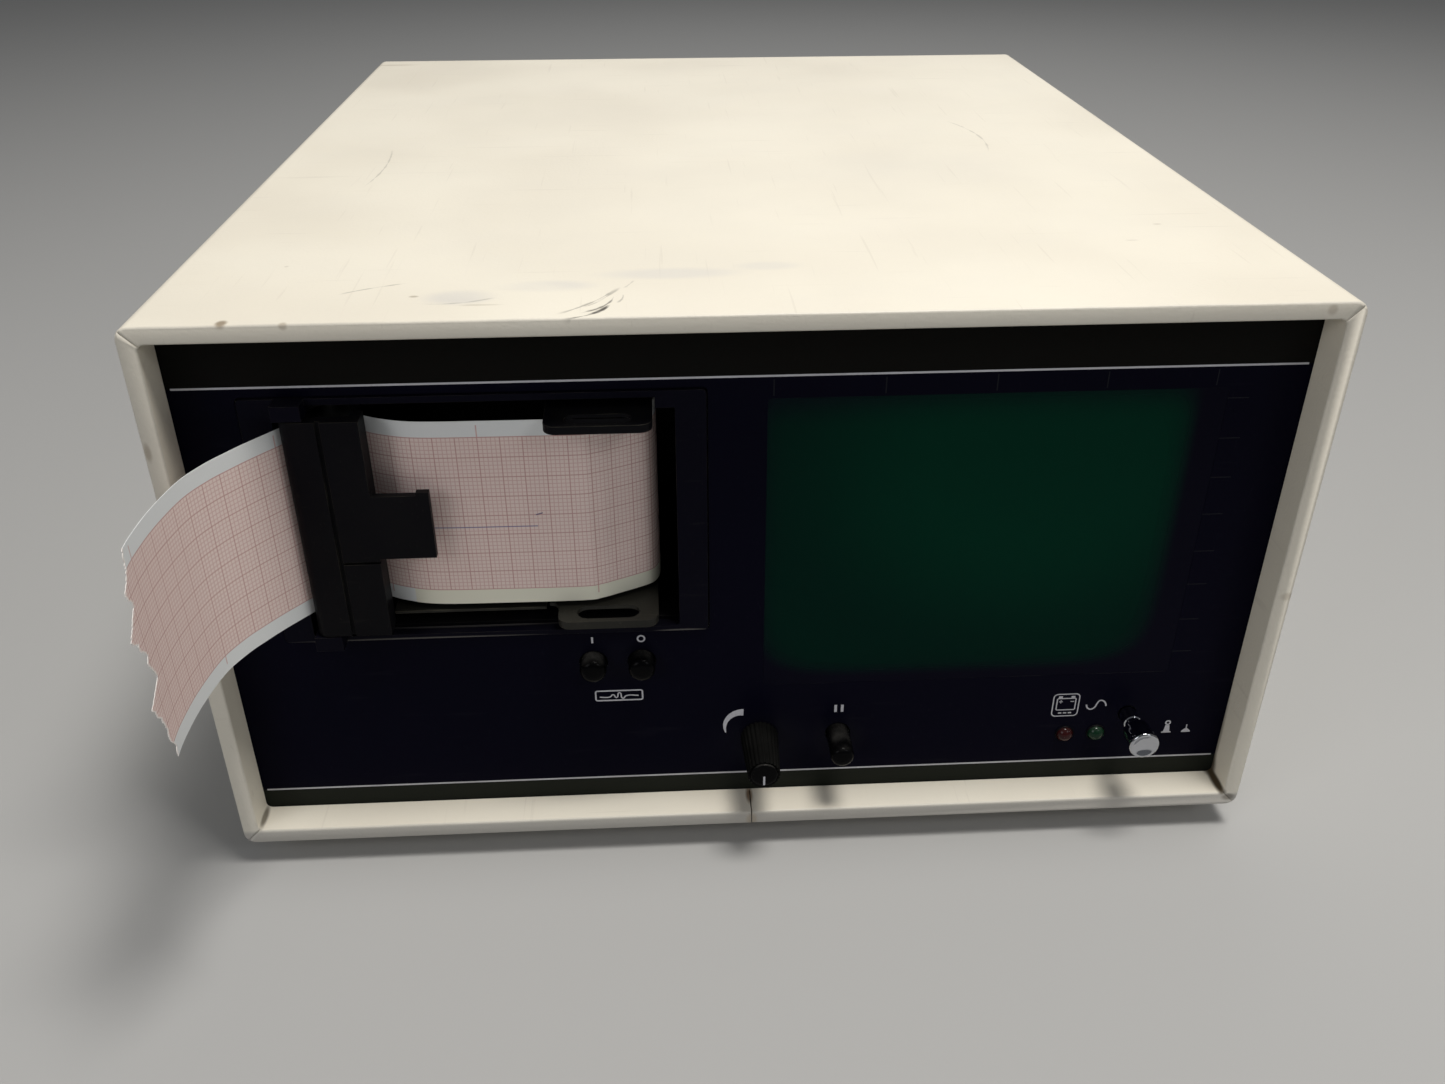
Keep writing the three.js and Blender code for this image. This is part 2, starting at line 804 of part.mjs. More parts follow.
function makeControls() {
  makeVolumeKnob(place(monitor, knobX, panelFace, knobZ));
  makeButton(place(monitor, freezeX, panelFace, freezeZ), "freeze_button", freezeRadius, freezeReach);
  for (const [name, x] of [
    ["run_button", runX],
    ["off_button", offX],
  ]) {
    const spot = place(monitor, x, panelFace, recorderButtonZ);
    makeButton(spot, name, recorderButtonRadius, recorderButtonReach);
  }
  makeSwitch(place(monitor, freezeX, panelFace, freezeZ), "freeze_switch", [0], freezeTravel);
  const pairMiddle = (runX + offX) / 2;
  const pairPlaces = [runX - pairMiddle, offX - pairMiddle];
  makeSwitch(
    place(monitor, pairMiddle, panelFace, recorderButtonZ),
    "recorder_switch",
    pairPlaces,
    recorderButtonTravel,
  );
  makePowerButton(place(monitor, powerX, panelFace, powerZ));
  makeLamp(place(monitor, lampRedX, panelFace, lampZ), "battery_lamp", redLens);
  makeLamp(place(monitor, lampGreenX, panelFace, lampZ), "mains_lamp", greenLens);
}

function makeVolumeKnob(group) {
  const flute = new THREE.Shape();
  const points = Array.from({ length: 2 * knobFlutes }, (_, i) =>
    polar(knobRadius - (i % 2) * fluteDepth, (i * Math.PI) / knobFlutes),
  );
  flute.setFromPoints(points);
  const grip = plate(flute, knobReach - knobStandoff).translate(0, -knobReach, 0);
  const taper = turnedBack([
    [0, -knobReach],
    [knobFaceRadius - knobFaceRound, -knobReach],
    [knobFaceRadius, -knobReach + knobFaceRound],
    [knobRadius, -knobStandoff],
    [0, -knobStandoff],
  ]);
  const bore = turnedBack(rodProfile(potShaftRadius + runGap, -knobStandoff - knobBoreDepth, cutOver));
  piece(group, "volume_knob", cut(overlap(grip, taper), bore), blackPlastic);

  const shaftFront = -knobStandoff - knobBoreDepth + seatGap;
  piece(group, "volume_shaft", turnedBack(rodProfile(potShaftRadius, shaftFront, potShaftTail)), steel);

  const front = panelBack + seatGap;
  const pot = turnedBack([
    [potShaftRadius + runGap, 0],
    [potBushRadius, 0],
    [potBushRadius, front],
    [potRadius, front],
    [potRadius, front + potDepth],
    [0, front + potDepth],
    [0, potShaftTail + seatGap],
    [potShaftRadius + runGap, potShaftTail + seatGap],
    [potShaftRadius + runGap, 0],
  ]);
  piece(group, "volume_pot", pot, zincPlate);
}

// A round push button with a shank that runs back into its switch
function makeButton(group, name, radius, reachOut) {
  const button = turnedBack([
    [0, -reachOut],
    [radius - buttonEdge, -reachOut],
    [radius, -reachOut + buttonEdge],
    [radius, buttonCollar],
    [buttonShankRadius, buttonCollar],
    [buttonShankRadius, buttonShankTail],
    [0, buttonShankTail],
  ]);
  piece(group, name, button, blackPlastic);
}

// A switch block behind the panel, with one bore for each button
function makeSwitch(group, name, places, travel) {
  const front = panelBack + switchSetback;
  const halfWidth = switchSize / 2 + Math.max(...places);
  const body = block(
    [-halfWidth, front, -switchSize / 2],
    [halfWidth, front + switchDepth, switchSize / 2],
  );
  const cheek = switchSize / 2 - recorderButtonRadius;
  const legs = [-halfWidth, halfWidth - cheek / 2].map((x) =>
    block([x, panelBack + seatGap, -switchSize / 2], [x + cheek / 2, front + cutOver, switchSize / 2]),
  );
  const boreProfile = rodProfile(buttonShankRadius + fitGap, 0, buttonShankTail + travel + fitGap);
  const bores = places.map((x) => turnedBack(boreProfile, smallSides).translate(x, 0, 0));
  piece(group, name, cut(join(body, ...legs), ...bores), blackPlastic);
}

function makePowerButton(group) {
  const capBack = -powerCapFace + powerCapLength;
  const cap = turnedBack([
    [0, -powerCapFace + powerCapDish],
    [powerCapRadius / 2, -powerCapFace + powerCapDish / 2],
    [powerCapRadius - buttonEdge, -powerCapFace],
    [powerCapRadius, -powerCapFace + buttonEdge],
    [powerCapRadius, capBack],
    [powerShaftRadius + runGap, capBack],
    [powerShaftRadius + runGap, capBack - powerCapBore],
    [0, capBack - powerCapBore],
  ]);
  piece(group, "power_cap", cap, chrome);
  const shaft = turnedBack(rodProfile(powerShaftRadius, capBack - powerCapBore + seatGap, powerShaftTail));
  piece(group, "power_shaft", shaft, steel);
  const bodyFront = powerSwitchSetback;
  const bodyBack = powerSwitchSetback + powerSwitchDepth;
  const body = block(
    [-powerSwitchWidth / 2, bodyFront, -powerSwitchHeight / 2],
    [powerSwitchWidth / 2, bodyBack, powerSwitchHeight / 2],
  );
  const wing = powerSwitchWidth / 2 - powerShaftRadius - fitGap;
  const arms = [-powerSwitchWidth / 2, powerSwitchWidth / 2 - wing / 2].map((x) =>
    block(
      [x, panelBack + seatGap, -powerSwitchHeight / 2],
      [x + wing / 2, bodyFront + cutOver, powerSwitchHeight / 2],
    ),
  );
  const bore = turnedBack(rodProfile(powerShaftRadius + fitGap, 0, powerShaftTail + powerTravel + fitGap));
  piece(group, "power_switch", cut(join(body, ...arms), bore), blackPlastic);
}

function makeLamp(group, name, finish) {
  const back = panelBack + seatGap;
  const roundShares = [0, 0.5, 0.87];
  const domePoints = roundShares.map((share) => [
    lampRadius * share,
    -lampReach + lampRadius * (1 - Math.sqrt(1 - share ** 2)),
  ]);
  const lamp = turnedBack(
    [
      ...domePoints,
      [lampRadius, -lampReach + lampRadius],
      [lampRadius, back],
      [lampFlange, back],
      [lampFlange, back + lampFlangeDepth],
      [lampLead, back + lampFlangeDepth],
      [lampLead, back + lampFlangeDepth + lampTail],
      [0, back + lampFlangeDepth + lampTail],
    ],
    smallSides,
  );
  piece(group, name, lamp, finish);
}

function makeRecorder() {
  const recorder = place(monitor, recorderX, panelFace, paperZ);
  makeRecorderFrame(recorder);
  makeGate(recorder);
  makeRollArm(recorder, "upper_roll_arm", upperArmZ, 1);
  makeRollArm(recorder, "lower_roll_arm", lowerArmZ, -1);
  makeRoll(place(recorder, rollX, rollY, 0));
  makePaper(recorder);
  makeDrive(recorder);
}

function makeRecorderFrame(recorder) {
  const mouth = rounded(-mouthWidth / 2, mouthWidth / 2, mouthBottom, mouthTop, bezelCorner);
  const face = plate(bezelOutline(0), bezelThickness).translate(0, -bezelProud, 0);
  const earFront = gatePinY - gateBarrel;
  const earSpan = [
    [gateTop + fitGap, bezelTop],
    [bezelBottom, gateBottom - fitGap],
  ];
  const ears = earSpan.map(([bottom, top]) =>
    block(
      [gatePinX - earWidth / 2, earFront, bottom],
      [gatePinX + earWidth / 2, bezelThickness - bezelProud, top],
    ),
  );
  const pinBottom = (bezelBottom + gateBottom) / 2;
  const pinTop = (bezelTop + gateTop) / 2;
  const holeProfile = rodProfile(gatePinRadius + runGap, pinBottom - seatGap, pinTop + seatGap);
  const pinHole = turned(holeProfile, smallSides).translate(gatePinX, gatePinY, 0);
  // The border hangs lower on the right of the upper arm, which keeps its room to lift
  const lintel = block(
    [armX + armWidth / 2 + lintelGap, -cutOver, mouthTop - lintelDrop],
    [mouthWidth / 2 + cutOver, panelBack + cutOver, mouthTop + cutOver],
  );
  const opening = cut(through(mouth), lintel);
  const bezel = cut(join(cut(face, opening), ...ears), pinHole);
  piece(recorder, "recorder_bezel", bezel, blackPlastic);
  const pin = turned(rodProfile(gatePinRadius, pinBottom, pinTop), smallSides);
  piece(recorder, "gate_pin", pin, steel).position.set(gatePinX, gatePinY, 0);

  const front = bezelThickness - bezelProud + seatGap;
  const back = housingBack + housingWall;
  const shell = block(
    [housingLeft - housingWall, front, housingFloor],
    [housingRight + housingWall, back, housingTop + housingWall],
  );
  const hollow = block(
    [housingLeft, front - cutOver, housingBottom],
    [housingRight, housingBack, housingTop],
  );
  const shaftHole = turned(
    rodProfile(platenShaftRadius + runGap, housingFloor - cutOver, housingTop + cutOver),
    smallSides,
  );
  shaftHole.translate(platenCentre.x, platenCentre.y, 0);
  const lugs = [upperArmZ, lowerArmZ].flatMap((z) => {
    const pinZ = z + armThickness / 2;
    return [-1, 1].map((side) => {
      const inner = armX + side * (armWidth / 2 + fitGap);
      const outer = inner + side * armLugWidth;
      return block(
        [Math.min(inner, outer), armHingeY - armKnuckle, pinZ - armKnuckle],
        [Math.max(inner, outer), housingBack + seatGap, pinZ + armKnuckle],
      );
    });
  });
  const pinHoles = [upperArmZ, lowerArmZ].map((z) => armPinRod(armPinRadius + runGap, z, fitGap));
  const housing = cut(join(cut(shell, hollow, shaftHole), ...lugs), ...pinHoles);
  piece(recorder, "recorder_housing", housing, blackPlastic);
  piece(recorder, "upper_arm_pin", armPinRod(armPinRadius, upperArmZ, 0), steel);
  piece(recorder, "lower_arm_pin", armPinRod(armPinRadius, lowerArmZ, 0), steel);
}

// The steel pin of a roll arm, across the recorder from lug to lug
function armPinRod(radius, z, extra) {
  const half = armWidth / 2 + fitGap + armLugWidth + extra;
  const rod = turned(rodProfile(radius, -half, half), smallSides).rotateY(Math.PI / 2);
  return rod.translate(armX, armHingeY, z + armThickness / 2);
}

function makeRollArm(recorder, name, z, side) {
  const left = armX - armWidth / 2;
  const right = armX + armWidth / 2;
  const outline = new THREE.Shape();
  outline.moveTo(left, armHingeY);
  outline.lineTo(left, armFront + armCorner);
  outline.absarc(left + armCorner, armFront + armCorner, armCorner, Math.PI, (3 * Math.PI) / 2);
  outline.lineTo(right - armCorner, armFront);
  outline.absarc(right - armCorner, armFront + armCorner, armCorner, -Math.PI / 2, 0);
  outline.lineTo(right, armHingeY);
  const flare = new THREE.Shape();
  flare.moveTo(left + armCorner, armLipEnd);
  flare.lineTo(left, armLipEnd);
  flare.quadraticCurveTo(left, armFlareStart, left - armFlare, armFlareStart);
  flare.lineTo(left - armFlare, armFlareEnd);
  flare.lineTo(left, armFlareEnd + armFlare);
  flare.lineTo(left + armCorner, armFlareEnd + armFlare);
  const level = prism(outline, z, z + armThickness);
  const sheet = side > 0 ? level : join(level, prism(flare, z, z + armThickness));

  const lipOuter = new THREE.Shape();
  lipOuter.moveTo(left, armLipEnd);
  lipOuter.lineTo(left, armFront + armCorner);
  lipOuter.absarc(left + armCorner, armFront + armCorner, armCorner, Math.PI, (3 * Math.PI) / 2);
  lipOuter.lineTo(right - armCorner, armFront);
  lipOuter.absarc(right - armCorner, armFront + armCorner, armCorner, -Math.PI / 2, 0);
  lipOuter.lineTo(right, armLipEnd);
  const lipBottom = z + armThickness - armLip;
  const lipHollow = block(
    [left + armLipWidth, armFront + armLipWidth, lipBottom - cutOver],
    [right - armLipWidth, armHingeY, z],
  );
  const lip = cut(prism(lipOuter, lipBottom, z + armThickness), lipHollow);

  const slotWidth = side > 0 ? upperSlotWidth : armSlotWidth;
  const slotY = side > 0 ? upperSlotY : armSlotY;
  const slotEnd = (armSlotLength - slotWidth) / 2;
  const slot = new THREE.Shape();
  slot.absarc(armX + slotEnd, slotY, slotWidth / 2, -Math.PI / 2, Math.PI / 2);
  slot.absarc(armX - slotEnd, slotY, slotWidth / 2, Math.PI / 2, (3 * Math.PI) / 2);
  const slotCut = prism(slot, z - cutOver, z + armThickness + cutOver);

  const pinZ = z + armThickness / 2;
  const halfWidth = armWidth / 2;
  const knuckle = turned(rodProfile(armKnuckle, -halfWidth, halfWidth), smallSides).rotateY(Math.PI / 2);
  const bore = armPinRod(armPinRadius + runGap, z, cutOver);
  const inward = side > 0 ? z : z + armThickness;
  const stubEnd = side * (paperWidth / 2 - coreInset - armStubReach);
  const stub = turned(rodProfile(armStubRadius, Math.min(inward, stubEnd), Math.max(inward, stubEnd)));
  // Behind the upper slot a rib hangs down in front of the paper
  const rib = block(
    [left + armLipWidth, upperRibBack - upperRibWall, z - upperRibDepth],
    [right - armLipWidth, upperRibBack, z + seatGap],
  );
  const parts = [sheet, lip, knuckle.translate(armX, armHingeY, pinZ), stub.translate(rollX, rollY, 0)];
  const arm = join(...parts, ...(side > 0 ? [rib] : []));
  piece(recorder, name, cut(arm, slotCut, bore), blackPlastic);
}

function makeRoll(group) {
  const half = paperWidth / 2;
  const core = turned(ringProfile(coreBore, coreRadius - seatGap, -half + coreInset, half - coreInset));
  piece(group, "roll_core", core, whitePlastic);
  const roll = turned(ringProfile(coreRadius, rollRadius, -half, half), largeSides);
  piece(group, "paper_roll", roll, paperWhite);
}

// The middle line of the chart paper, seen from above
function paperLine() {
  const wrapStart = degrees(platenTurn - wrapTurn);
  const wrapEnd = degrees(platenTurn + wrapTurn);
  const webEnd = polar(wrapRadius, wrapStart).add(noseCentre);
  const webX = rollX + rollRadius + paperGap + paperThickness / 2;
  const turns = [
    [webX, rollY],
    [webX, 20],
    [webX, 14],
    [39.3, 10.4],
    [37.9, 7.5],
    [34.8, 5.5],
    [29.7, 3],
    [25.6, 1.1],
    [21.2, webFront],
    [4, webFront],
    [-13, 0.6],
    [-21.2, 2.6],
    [-26.9, 5.5],
  ];
  const webPoints = turns.map(([along, back]) => new THREE.Vector2(along, back));
  const web = new THREE.SplineCurve([...webPoints, webEnd]);
  const { x, y } = noseCentre;
  const wrap = new THREE.EllipseCurve(x, y, wrapRadius, wrapRadius, wrapStart, wrapEnd);
  const exit = polar(wrapRadius, wrapEnd).add(noseCentre);
  const leave = polar(exit.y / Math.cos(wrapEnd - Math.PI / 2), wrapEnd + Math.PI / 2);
  const mouth = exit.clone().add(leave);
  const stripShares = [
    [0.1, 0.28],
    [0.18, 0.48],
    [0.27, 0.68],
    [0.4, 0.87],
    [0.6, 0.98],
    [0.78, 1],
    [0.9, 0.97],
    [1, 0.95],
  ];
  const stripPoints = stripShares.map(
    ([out, drift]) => new THREE.Vector2(mouth.x - stripDrift * drift, mouth.y - stripReach * out),
  );
  const strip = new THREE.SplineCurve([exit, mouth, ...stripPoints]);
  return [
    ...web.getPoints(webSteps),
    ...wrap.getPoints(wrapSteps).slice(1),
    ...strip.getPoints(stripSteps).slice(1),
  ];
}

function makePaper(recorder) {
  const line = paperLine();
  const sides = line.map((point, i) => {
    const before = line[Math.max(i - 1, 0)];
    const after = line[Math.min(i + 1, line.length - 1)];
    const across = after.clone().sub(before).normalize().rotateAround(new THREE.Vector2(), Math.PI / 2);
    const offset = across.multiplyScalar(paperThickness / 2);
    return [point.clone().add(offset), point.clone().sub(offset)];
  });
  const outline = new THREE.Shape([
    ...sides.map(([near]) => near),
    ...sides.map(([, far]) => far).reverse(),
  ]);
  const sheet = prism(outline, -paperWidth / 2, paperWidth / 2);

  // The torn end: pairs of height on the paper and how far the tear bites in from the tip
  const tearShares = [
    [0, 0.9],
    [0.1, 0.72],
    [0.21, 0.62],
    [0.33, 0.08],
    [0.4, 0.95],
    [0.53, 0.7],
    [0.67, 0.05],
    [0.76, 0.8],
    [0.84, 0.5],
    [0.9, 0.9],
    [1, 1],
  ];
  const tip = line[line.length - 1];
  const tearLine = tearShares.map(
    ([up, bite]) => new THREE.Vector2(tip.y + tearDepth * bite, (up - 1 / 2) * paperWidth),
  );
  const tear = new THREE.Shape([
    new THREE.Vector2(tip.y - cutOver, -paperWidth / 2 - cutOver),
    new THREE.Vector2(tearLine[0].x, -paperWidth / 2 - cutOver),
    ...tearLine,
    new THREE.Vector2(tearLine[tearLine.length - 1].x, paperWidth / 2 + cutOver),
    new THREE.Vector2(tip.y - cutOver, paperWidth / 2 + cutOver),
  ]);
  const away = new THREE.ExtrudeGeometry(tear, { depth: 2 * cutOver, bevelEnabled: false });
  away.rotateX(Math.PI / 2).rotateZ(Math.PI / 2);
  away.translate(tip.x - cutOver, 0, 0);
  piece(recorder, "chart_paper", cut(sheet, away), paperPink);
}

function makeGate(recorder) {
  const gate = place(recorder, gatePinX, gatePinY, 0);
  const front = -gateBarrel;
  const backWall = front + gateWall;
  const outline = new THREE.Shape();
  outline.absarc(0, 0, gateBarrel, Math.PI / 2, (3 * Math.PI) / 2);
  outline.lineTo(gateWidth, front);
  outline.lineTo(gateWidth, front + gateRibDepth);
  outline.lineTo(gateWidth - gateRib, front + gateRibDepth);
  outline.lineTo(gateWidth - gateRib, backWall);
  outline.lineTo(gateBarrel, backWall);
  const wall = prism(outline, gateBottom, gateTop);
  const tab = block([gateWidth - gateRib, front, tabBottom], [tabReach, front + tabThickness, tabTop]);
  const boreProfile = rodProfile(gatePinRadius + runGap, gateBottom - cutOver, gateTop + cutOver);
  const bore = turned(boreProfile, smallSides);
  const groove = block(
    [gateGrooveX - gateGrooveWidth / 2, front - cutOver, gateBottom - cutOver],
    [gateGrooveX + gateGrooveWidth / 2, front + gateGrooveDepth, gateTop + cutOver],
  );
  const seam = block(
    [gateGrooveX, front - cutOver, gateSeamZ - gateSeamWidth / 2],
    [gateWidth + cutOver, front + gateGrooveDepth, gateSeamZ + gateSeamWidth / 2],
  );
  piece(gate, "paper_gate", cut(join(wall, tab), bore, groove, seam), blackPlastic);

  const headHalf = paperWidth / 2 + headOverhang;
  const round = turned(rodProfile(noseRadius, -headHalf, headHalf), largeSides).translate(noseX, noseY, 0);
  const headFront = backWall + fitGap;
  const keep = block(
    [-cutOver, headFront, -headHalf - cutOver],
    [gateWidth - gateRib - fitGap, noseY + noseRadius + cutOver, headHalf + cutOver],
  );
  piece(gate, "print_head", overlap(round, keep), steel);
}

// The outline of a gear whose first tooth points at an angle
function gearOutline(teeth, phase) {
  const pitchRadius = (gearModule * teeth) / 2;
  const tip = pitchRadius + gearModule * addendumShare;
  const root = pitchRadius - gearModule * dedendumShare;
  const pitch = (2 * Math.PI) / teeth;
  const outline = new THREE.Shape();
  const points = Array.from({ length: teeth }, (_, i) => {
    const middleTurn = phase + i * pitch;
    return [
      polar(root, middleTurn - (pitch * toothRootShare) / 2),
      polar(tip, middleTurn - (pitch * toothTipShare) / 2),
      polar(tip, middleTurn + (pitch * toothTipShare) / 2),
      polar(root, middleTurn + (pitch * toothRootShare) / 2),
    ];
  }).flat();
  outline.setFromPoints(points);
  return outline;
}

// The phase that puts a gear in mesh with the gear before it, along the line between their centres
function meshPhase(leadPhase, leadTeeth, turn, teeth) {
  return turn + Math.PI - ((leadPhase - turn) * leadTeeth) / teeth + Math.PI / teeth;
}

function makeDrive(recorder) {
  const shaftBore = (radius) =>
    turned(rodProfile(radius + runGap, gearBottom - cutOver, housingTop + cutOver), smallSides);
  const half = paperWidth / 2 + platenOverhang;
  const platen = place(recorder, platenCentre.x, platenCentre.y, 0);
  const roller = turned(ringProfile(platenShaftRadius + runGap, platenRadius, -half, half));
  piece(platen, "platen_roller", roller, rubber);
  const shaftProfile = rodProfile(platenShaftRadius, drivePlateBottom, housingTop + housingWall);
  const shaft = turned(shaftProfile, smallSides);
  piece(platen, "platen_shaft", shaft, steel);
  const platenPhase = degrees(idlerTurn);
  const platenWheel = prism(gearOutline(platenTeeth, platenPhase), gearBottom, gearTop);
  const platenGear = cut(platenWheel, shaftBore(platenShaftRadius));
  piece(platen, "platen_gear", platenGear, whitePlastic);

  const idlerPhase = meshPhase(platenPhase, platenTeeth, degrees(idlerTurn), idlerTeeth);
  const idler = place(recorder, idlerCentre.x, idlerCentre.y, 0);
  const idlerWheel = prism(gearOutline(idlerTeeth, idlerPhase), gearBottom, gearTop);
  const idlerGear = cut(idlerWheel, shaftBore(idlerStudRadius));
  piece(idler, "idler_gear", idlerGear, whitePlastic);

  const pinionPhase = meshPhase(idlerPhase, idlerTeeth, degrees(pinionTurn), pinionTeeth);
  const pinion = place(recorder, pinionCentre.x, pinionCentre.y, 0);
  const motorTop = drivePlateBottom - seatGap;
  const motorBottom = trayTop + motorClearance - paperZ;
  const shaftBottom = motorTop - motorBoreDepth + seatGap;
  const motorShaft = turned(rodProfile(motorShaftRadius, shaftBottom, gearTop), smallSides);
  const pinionWheel = prism(gearOutline(pinionTeeth, pinionPhase), gearBottom, gearTop);
  const pinionGear = join(pinionWheel, motorShaft);
  piece(pinion, "motor_pinion", pinionGear, steel);
  const motor = turned([
    [0, motorBottom],
    [motorRadius, motorBottom],
    [motorRadius, motorTop],
    [motorShaftRadius + fitGap, motorTop],
    [motorShaftRadius + fitGap, motorTop - motorBoreDepth],
    [0, motorTop - motorBoreDepth],
  ]);
  piece(pinion, "drive_motor", motor, steel);

  const sheet = block(
    [drivePlateLeft, drivePlateFront, drivePlateBottom],
    [drivePlateRight, drivePlateBack, drivePlateTop],
  );
  const cornerPlaces = [
    [drivePlateLeft + drivePostRadius, idlerCentre.y],
    [idlerCentre.x + idlerStep / 2, drivePlateFront + drivePostRadius],
    [drivePlateRight - drivePostRadius, drivePlateBack - drivePostRadius],
  ];
  const postProfile = rodProfile(drivePostRadius, drivePlateBottom, housingFloor - seatGap);
  const posts = cornerPlaces.map(([x, y]) => turned(postProfile, smallSides).translate(x, y, 0));
  const stud = turned(rodProfile(idlerStudRadius, drivePlateBottom, gearTop), smallSides);
  stud.translate(idlerCentre.x, idlerCentre.y, 0);
  const holes = [
    [platenCentre, platenShaftRadius + runGap],
    [pinionCentre, motorShaftRadius + fitGap],
  ].map(([centre, radius]) =>
    turned(rodProfile(radius, drivePlateBottom - cutOver, drivePlateTop + cutOver), smallSides).translate(
      centre.x,
      centre.y,
      0,
    ),
  );
  const plateSolid = join(sheet, ...posts, stud);
  piece(recorder, "drive_plate", cut(plateSolid, ...holes), zincPlate);
}

function makeInside() {
  const boardBottom = trayTop + mainBoardLift;
  const boardTop = boardBottom + boardThickness;
  const left = -caseWidth / 2 + mainBoardMarginLeft;
  const right = caseWidth / 2 - mainBoardMarginRight;
  const back = supplyBack - batteryDepth - mainBoardGap;
  const front = back - mainBoardDepth;
  const board = block([left, front, boardBottom], [right, back, boardTop]);
  const columnPitch = (right - left) / (chipColumns + 1);
  const columns = Array.from({ length: chipColumns }, (_, i) => left + columnPitch * (i + 1));
  const rows = Array.from({ length: chipRows }, (_, i) => front + chipPitch * (i + 1 / 2));
  const chips = columns.flatMap((x) =>
    rows.map((y) =>
      block(
        [x - chipWidth / 2, y, boardBottom],
        [x + chipWidth / 2, y + chipLength, boardTop + chipHeight],
      ),
    ),
  );
  const capProfile = rodProfile(capRadius, boardBottom, boardTop + capHeight);
  const caps = columns.map((x) => turned(capProfile, smallSides).translate(x, back - chipPitch / 2, 0));
  const standoffProfile = rodProfile(tubeFramePost, trayTop + seatGap, boardTop);
  const standoffs = [left + capRadius, right - capRadius].flatMap((x) =>
    [front + capRadius, back - capRadius].map((y) =>
      turned(standoffProfile, smallSides).translate(x, y, 0),
    ),
  );
  piece(monitor, "main_board", join(board, ...chips, ...caps, ...standoffs), boardGreen);

  const wallX = trayHalf - trayWall - deflectionGap;
  const boardX = wallX - boardThickness;
  const deflectionTop = caseHeight - deflectionDrop;
  const upright = block(
    [boardX, deflectionFront, trayTop + mainBoardLift],
    [wallX, deflectionBack, deflectionTop],
  );
  const feet = [deflectionFront + capRadius, deflectionBack - capRadius].map((y) =>
    block(
      [wallX - boardThickness, y - capRadius, trayTop + mainBoardLift],
      [trayHalf - trayWall - seatGap, y + capRadius, trayBottom + trayLip],
    ),
  );
  const flybackBack = deflectionBack - capRadius;
  const flybackTop = deflectionTop - flybackDrop;
  const flyback = block(
    [boardX - flybackWidth, flybackBack - flybackDepth, flybackTop - flybackHeight],
    [wallX, flybackBack, flybackTop],
  );
  const heatSinkTop = deflectionTop - heatSinkDrop;
  const heatSink = block(
    [boardX - heatSinkReach, flybackBack - flybackDepth - heatSinkDepth, heatSinkTop - heatSinkHeight],
    [wallX, flybackBack - flybackDepth - capRadius, heatSinkTop],
  );
  piece(monitor, "deflection_board", join(upright, ...feet, flyback, heatSink), boardGreen);

  const coreX = coreLaminationWidth / 2;
  const transformerX = caseWidth / 2 - transformerInset;
  const coreFront = supplyBack - coreLaminationDepth;
  const coreBottom = trayTop + seatGap;
  const core = block(
    [transformerX - coreX, coreFront, coreBottom],
    [transformerX + coreX, supplyBack, coreBottom + coreLaminationHeight],
  );
  const coilFloor = coreBottom + (coreLaminationHeight - coilHeight) / 2;
  const coil = block(
    [transformerX - coreX - coilOverhang, coreFront + coilOverhang, coilFloor],
    [transformerX + coreX + coilOverhang, supplyBack - coilOverhang, coilFloor + coilHeight],
  );
  piece(monitor, "power_transformer", join(core, coil), steel);

  const batteryX = -caseWidth / 2 + batteryInset;
  const batteryFront = supplyBack - batteryDepth;
  const batteryFloor = trayTop + seatGap;
  const batteryTop = batteryFloor + batteryHeight;
  const cells = block(
    [batteryX - batteryWidth / 2, batteryFront, batteryFloor],
    [batteryX + batteryWidth / 2, supplyBack, batteryTop],
  );
  const terminals = [-1, 1].map((side) => {
    const x = batteryX + side * (batteryWidth / 2 - 2 * terminalSize);
    return block(
      [x, batteryFront + terminalSize, batteryTop - terminalSize],
      [x + terminalSize, batteryFront + 2 * terminalSize, batteryTop + terminalSize],
    );
  });
  piece(monitor, "battery_pack", join(cells, ...terminals), blackPlastic);

  const strapY = supplyBack - batteryDepth / 2;
  const strapInner = batteryWidth / 2 + fitGap;
  const strapOuter = strapInner + strapThickness;
  const strapTop = batteryTop + fitGap;
  const hoop = block(
    [batteryX - strapOuter, strapY - strapWidth / 2, batteryFloor],
    [batteryX + strapOuter, strapY + strapWidth / 2, strapTop + strapThickness],
  );
  const hoopHollow = block(
    [batteryX - strapInner, strapY - strapWidth, batteryFloor - cutOver],
    [batteryX + strapInner, strapY + strapWidth, strapTop],
  );
  const soles = [-strapOuter - strapFoot + strapThickness, strapOuter - strapThickness].map((x) =>
    block(
      [batteryX + x, strapY - strapWidth / 2, batteryFloor],
      [batteryX + x + strapFoot, strapY + strapWidth / 2, batteryFloor + strapThickness],
    ),
  );
  piece(monitor, "battery_strap", join(cut(hoop, hoopHollow), ...soles), zincPlate);
}

